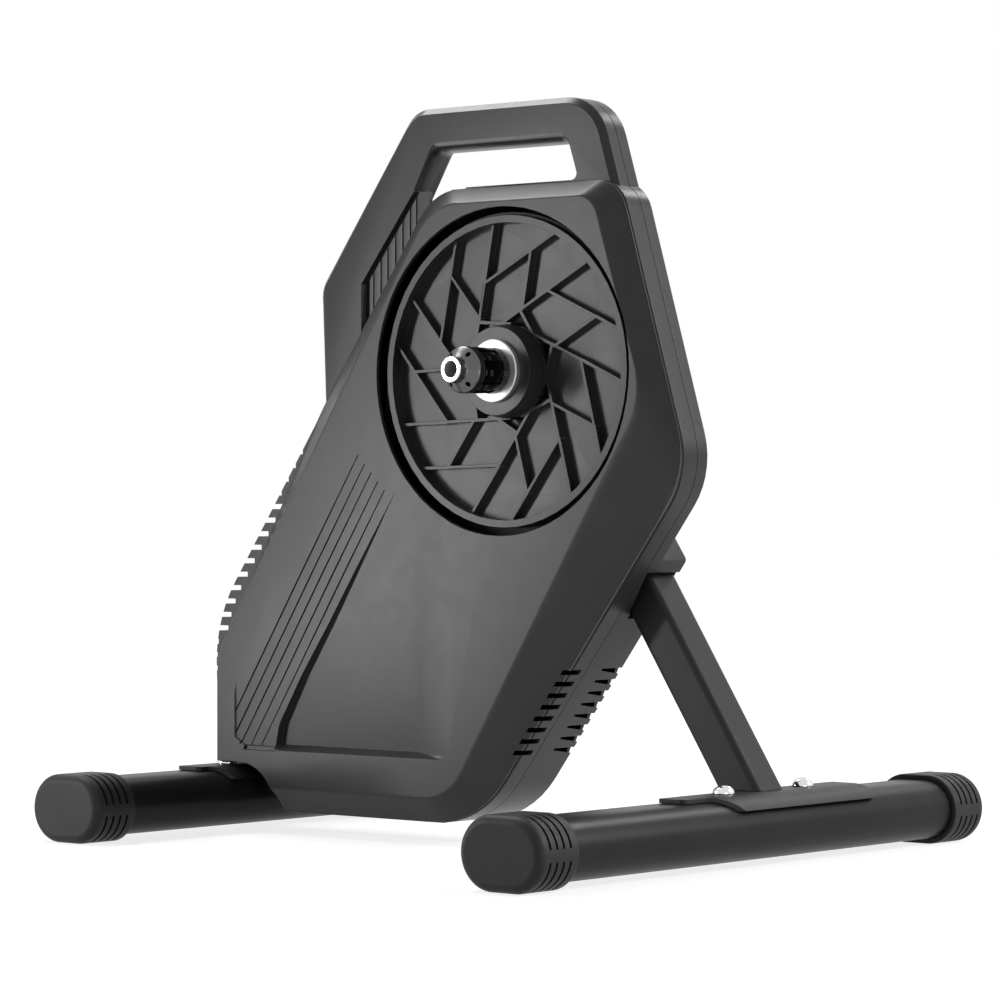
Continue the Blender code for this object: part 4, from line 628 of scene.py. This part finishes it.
# angles in degrees, spans in millimetres along the axis
RIDGES = 9
RIDGE_START = 1.5
RIDGE_PITCH = 360 / RIDGES
GROOVE_ANGLE = 20
GROOVE_DEPTH = 1.25 * MM
GROOVE_END = (-66.0, -44.8)
RING_MARKS = ((-64.4, -63.6), (-59.5, -58.7), (-57.5, -56.7))
RING_DEPTH = 0.3 * MM
RING_MARGIN = 2.5
STOP = (-43.6, -40.2)
STOP_DEPTH = 0.5 * MM
STOP_EDGE = 0.25 * MM
STOP_MARGIN = 5


def from_hub(place):
    """The outward direction of a place round the hub's axis."""
    return Vector((place.x - HUB.x, 0, place.z - HUB.z)).normalized()


def on_freehub(bm, span, first, last):
    """Faces of the freehub's skin between two depths and two angles within each ridge's pitch."""
    chosen = []
    for face in bm.faces:
        centre = face.calc_center_median()
        out = Vector((centre.x - HUB.x, 0, centre.z - HUB.z))
        turn = (math.degrees(math.atan2(out.z, out.x)) - RIDGE_START) % RIDGE_PITCH
        along = span[0] * MM < centre.y < span[1] * MM
        if out.length > FREEHUB_SKIN and along and first < turn < last:
            chosen.append(face)
    return chosen


bm = spun_about_hub(FREEHUB, RIDGE_START)
cut_planes(bm, [y * MM for span in (*RING_MARKS, STOP, GROOVE_END) for y in span])
for span in RING_MARKS:
    bare = on_freehub(bm, span, GROOVE_ANGLE + RING_MARGIN, RIDGE_PITCH - RING_MARGIN)
    for face in bare:
        face.material_index = 1
    sink(bm, bare, RING_DEPTH, from_hub)
stops = on_freehub(bm, STOP, GROOVE_ANGLE + STOP_MARGIN, RIDGE_PITCH - STOP_MARGIN)
for face in bmesh.ops.inset_region(bm, faces=stops, thickness=STOP_EDGE)["faces"]:
    face.material_index = 1
sink(bm, stops, STOP_DEPTH, from_hub)
sink(bm, on_freehub(bm, GROOVE_END, 0, GROOVE_ANGLE), GROOVE_DEPTH, from_hub)
bmesh.ops.recalc_face_normals(bm, faces=bm.faces)
made = piece(
    "freehub_body_fine", bm, anodised, "freehub", ["freehub_body"], angle=HUB_SHARP
)
made.data.materials.append(blasted)
print(made.name, len(made.data.polygons), "faces")

# %% [markdown]
# The end cap that clamps the bicycle's frame is turned too, and has four blind holes round its cone. A round
# hole in a cone is awkward to cut by hand, so a Boolean takes four small cylinders away from the finished
# turning. Its nose stays bright and its bore is blasted matt. Its cone is the same turned metal but coloured a
# darker grey: painted shade that stands in for the dark reflection the turned cone shows.

# %% End cap
END_CAP = (
    (6.2, -84.9), (6.6, -85.3), (8.9, -85.3), (9.4, -85.1), (9.65, -84.6), (9.65, -79.2), (9.9, -78.4),
    (10.6, -77.4), (13.2, -75.4), (16.2, -73.0), (17.0, -72.2), (17.4, -71.2), (17.4, -67.6), (6.2, -67.6),
)
HOLE_TURNS = (53, 127, 233, 307)
HOLE_RADIUS = 1.8 * MM
HOLE_CIRCLE = 13.6 * MM
HOLE_STEPS = 24
HOLE_DEPTHS = (-78 * MM, -70 * MM)
NOSE_BACK = -79.2 * MM
BORE_EDGE = 6.3 * MM


def without(made, cutter):
    """Takes the volume of a bmesh away from a finished piece."""
    mesh = bpy.data.meshes.new("cutter")
    cutter.to_mesh(mesh)
    cutter.free()
    tool = bpy.data.objects.new("cutter", mesh)
    bpy.context.scene.collection.objects.link(tool)
    made.modifiers.clear()
    cut = made.modifiers.new("cut", "BOOLEAN")
    cut.object = tool
    cut.operation = "DIFFERENCE"
    cut.solver = "EXACT"
    evaluated = made.evaluated_get(bpy.context.evaluated_depsgraph_get())
    result = bpy.data.meshes.new_from_object(evaluated)
    made.modifiers.remove(cut)
    made.data = result
    bpy.data.objects.remove(tool)
    result.set_sharp_from_angle(angle=math.radians(HUB_SHARP))
    weighted = made.modifiers.new("even shading", "WEIGHTED_NORMAL")
    weighted.keep_sharp = True


made = piece(
    "drive_end_cap_fine",
    spun_about_hub(END_CAP),
    turned_aluminium,
    "frame",
    ["drive_end_cap"],
    angle=HUB_SHARP,
)
holes = bmesh.new()
for degrees in HOLE_TURNS:
    turn = math.radians(degrees)
    outward = Vector((math.cos(turn), 0, math.sin(turn)))
    centre = HUB + HOLE_CIRCLE * outward + FORWARD * sum(HOLE_DEPTHS) / 2
    bmesh.ops.create_cone(
        holes,
        cap_ends=True,
        segments=HOLE_STEPS,
        radius1=HOLE_RADIUS,
        radius2=HOLE_RADIUS,
        depth=HOLE_DEPTHS[1] - HOLE_DEPTHS[0],
        matrix=Matrix.Translation(centre) @ Matrix.Rotation(math.radians(90), 4, "X"),
    )
without(made, holes)
# the second finish, for the cone, is turned aluminium darkened by painted shade that stands in for a dark
# reflection
for finish in (cone_painted_dark, blasted):
    made.data.materials.append(finish)
for face in made.data.polygons:
    out = math.hypot(face.center.x - HUB.x, face.center.z - HUB.z)
    if face.center.y > NOSE_BACK:
        face.material_index = 1
    if out < BORE_EDGE:
        face.material_index = 2
print(made.name, len(made.data.polygons), "faces")

# %% Finishes for the solids that stay
KEPT = {
    bearing_steel: (
        "axle",
        "axle_nut",
        "flywheel_bearing_front",
        "flywheel_bearing_rear",
        "freehub_bearing_front",
        "freehub_bearing_rear",
        "wheel_bearing_front",
        "wheel_bearing_rear",
        "ratchet_ring",
        "flywheel_shaft",
        "leg_bolt_1",
        "leg_bolt_2",
        "post_bolt_1",
        "post_bolt_2",
        "tensioner_pivot",
        "tensioner_spring",
    ),
    copper: ("brake_coil_1", "brake_coil_2", "brake_coil_3"),
    lamination: ("brake_core",),
    board_green: ("circuit_board",),
    belt_rubber: ("drive_belt",),
    iron: ("flywheel",),
    anodised: ("flywheel_pulley", "idler_roller"),
    cast_paint: ("frame_plate",),
    powder_coat: ("tensioner_arm",),
    lens_milk: ("status_light",),
}
for finish, names in KEPT.items():
    for name in names:
        nodes[name].data.materials.clear()
        nodes[name].data.materials.append(finish)
print("finishes given to", sum(len(names) for names in KEPT.values()), "solids")

# %% [markdown]
# The floor is a large pale sheet. It glows evenly to the camera, so that it joins the white background
# without a horizon. Near the object it glows a little less and scatters the lamps' light instead, so that
# the object's own shadow shows on it.

# %% Floor
FLOOR_HALF = 12  # metres
GLOW_NEAR = 0.8
GLOW_REACH = (0.5, 1.6)  # metres from the middle
FLOOR_GREY = (0.4, 0.4, 0.4, 1)


def seen_rays(tree):
    """One for rays that the eye sees directly, in a reflection or through glass, else zero."""
    path = add_node(tree, "ShaderNodeLightPath")
    total = path.outputs["Is Camera Ray"]
    for ray in ("Is Glossy Ray", "Is Transmission Ray"):
        total = add_node(
            tree, "ShaderNodeMath", {0: total, 1: path.outputs[ray]}, operation="ADD"
        ).outputs[0]
    return total


bm = bmesh.new()
bmesh.ops.create_grid(bm, x_segments=1, y_segments=1, size=FLOOR_HALF)
floor_mesh = bpy.data.meshes.new("floor")
bm.to_mesh(floor_mesh)
bm.free()
floor = bpy.data.objects.new("floor", floor_mesh)
bpy.context.scene.collection.objects.link(floor)
floor_mesh.materials.append(bpy.data.materials.new("pale_floor"))
floor_mesh.materials[0].use_nodes = True
tree = floor_mesh.materials[0].node_tree
tree.nodes.clear()
place = add_node(tree, "ShaderNodeTexCoord").outputs["Object"]
distance = add_node(tree, "ShaderNodeVectorMath", {0: place}, operation="LENGTH")
fade = add_node(
    tree,
    "ShaderNodeMapRange",
    {
        "Value": distance.outputs["Value"],
        "From Min": GLOW_REACH[0],
        "From Max": GLOW_REACH[1],
        "To Min": GLOW_NEAR,
        "To Max": 1.0,
    },
)
glow = add_node(
    tree, "ShaderNodeMath", {0: seen_rays(tree), 1: fade.outputs["Result"]}, operation="MULTIPLY"
)
glowing = add_node(tree, "ShaderNodeEmission", {"Strength": glow.outputs[0]})
matt = add_node(tree, "ShaderNodeBsdfDiffuse", {"Color": FLOOR_GREY})
both = add_node(tree, "ShaderNodeAddShader", {0: glowing.outputs[0], 1: matt.outputs[0]})
add_node(tree, "ShaderNodeOutputMaterial", {"Surface": both.outputs[0]})
print("floor laid,", 2 * FLOOR_HALF, "m across")

# %% [markdown]
# Plain studio light. A tall, narrow soft box stands at the front left, where the camera sees its faint sheen
# on the big flat face, and it throws the ribs' shadows to the right. One lamp above brightens the upper
# edges, two from behind draw the side walls and the tops of the feet, and a weak one low on the right lifts
# the dark bevel. The world is white to the eye and in reflections, and gives only a low even light
# otherwise.

# %% Light
AMBIENT = 0.08
world = bpy.data.worlds.new("studio")
bpy.context.scene.world = world
world.use_nodes = True
tree = world.node_tree
back = tree.nodes["Background"]
level = add_node(tree, "ShaderNodeMapRange", {"Value": seen_rays(tree), "To Min": AMBIENT, "To Max": 1.0})
tree.links.new(level.outputs["Result"], back.inputs["Strength"])
back.inputs["Color"].default_value = (1, 1, 1, 1)

# name, place, aim, size, watts, tilt in degrees
LAMPS = (
    ("key", (-0.79, -0.92, 0.27), (-0.015, -0.03, 0.29), (0.1, 0.9), 8.2, -26),
    ("top", (-1.0, 0.05, 1.9), (0, 0, 0.3), (0.7, 0.7), 18, 0),
    ("rim", (1.6, 1.0, 1.1), (0.1, 0, 0.25), (0.9, 0.9), 26, 0),
    ("back", (0.2, 1.8, 1.7), (0.1, 0, 0.1), (0.5, 0.3), 7, 0),
    ("low fill", (1.3, -0.55, 0.12), (0.1, 0, 0.2), (0.5, 0.2), 1.5, 0),
)
for name, place, aim, size, power, tilt in LAMPS:
    data = bpy.data.lights.new(name, "AREA")
    data.shape = "RECTANGLE"
    data.size, data.size_y = size
    data.energy = power
    lamp = bpy.data.objects.new(name, data)
    lamp.location = place
    facing = (Vector(aim) - Vector(place)).to_track_quat("-Z", "Y")
    lamp.rotation_euler = (facing @ Quaternion((0, 0, 1), math.radians(tilt))).to_euler()
    bpy.context.scene.collection.objects.link(lamp)
    print("lamp", name, power, "W")
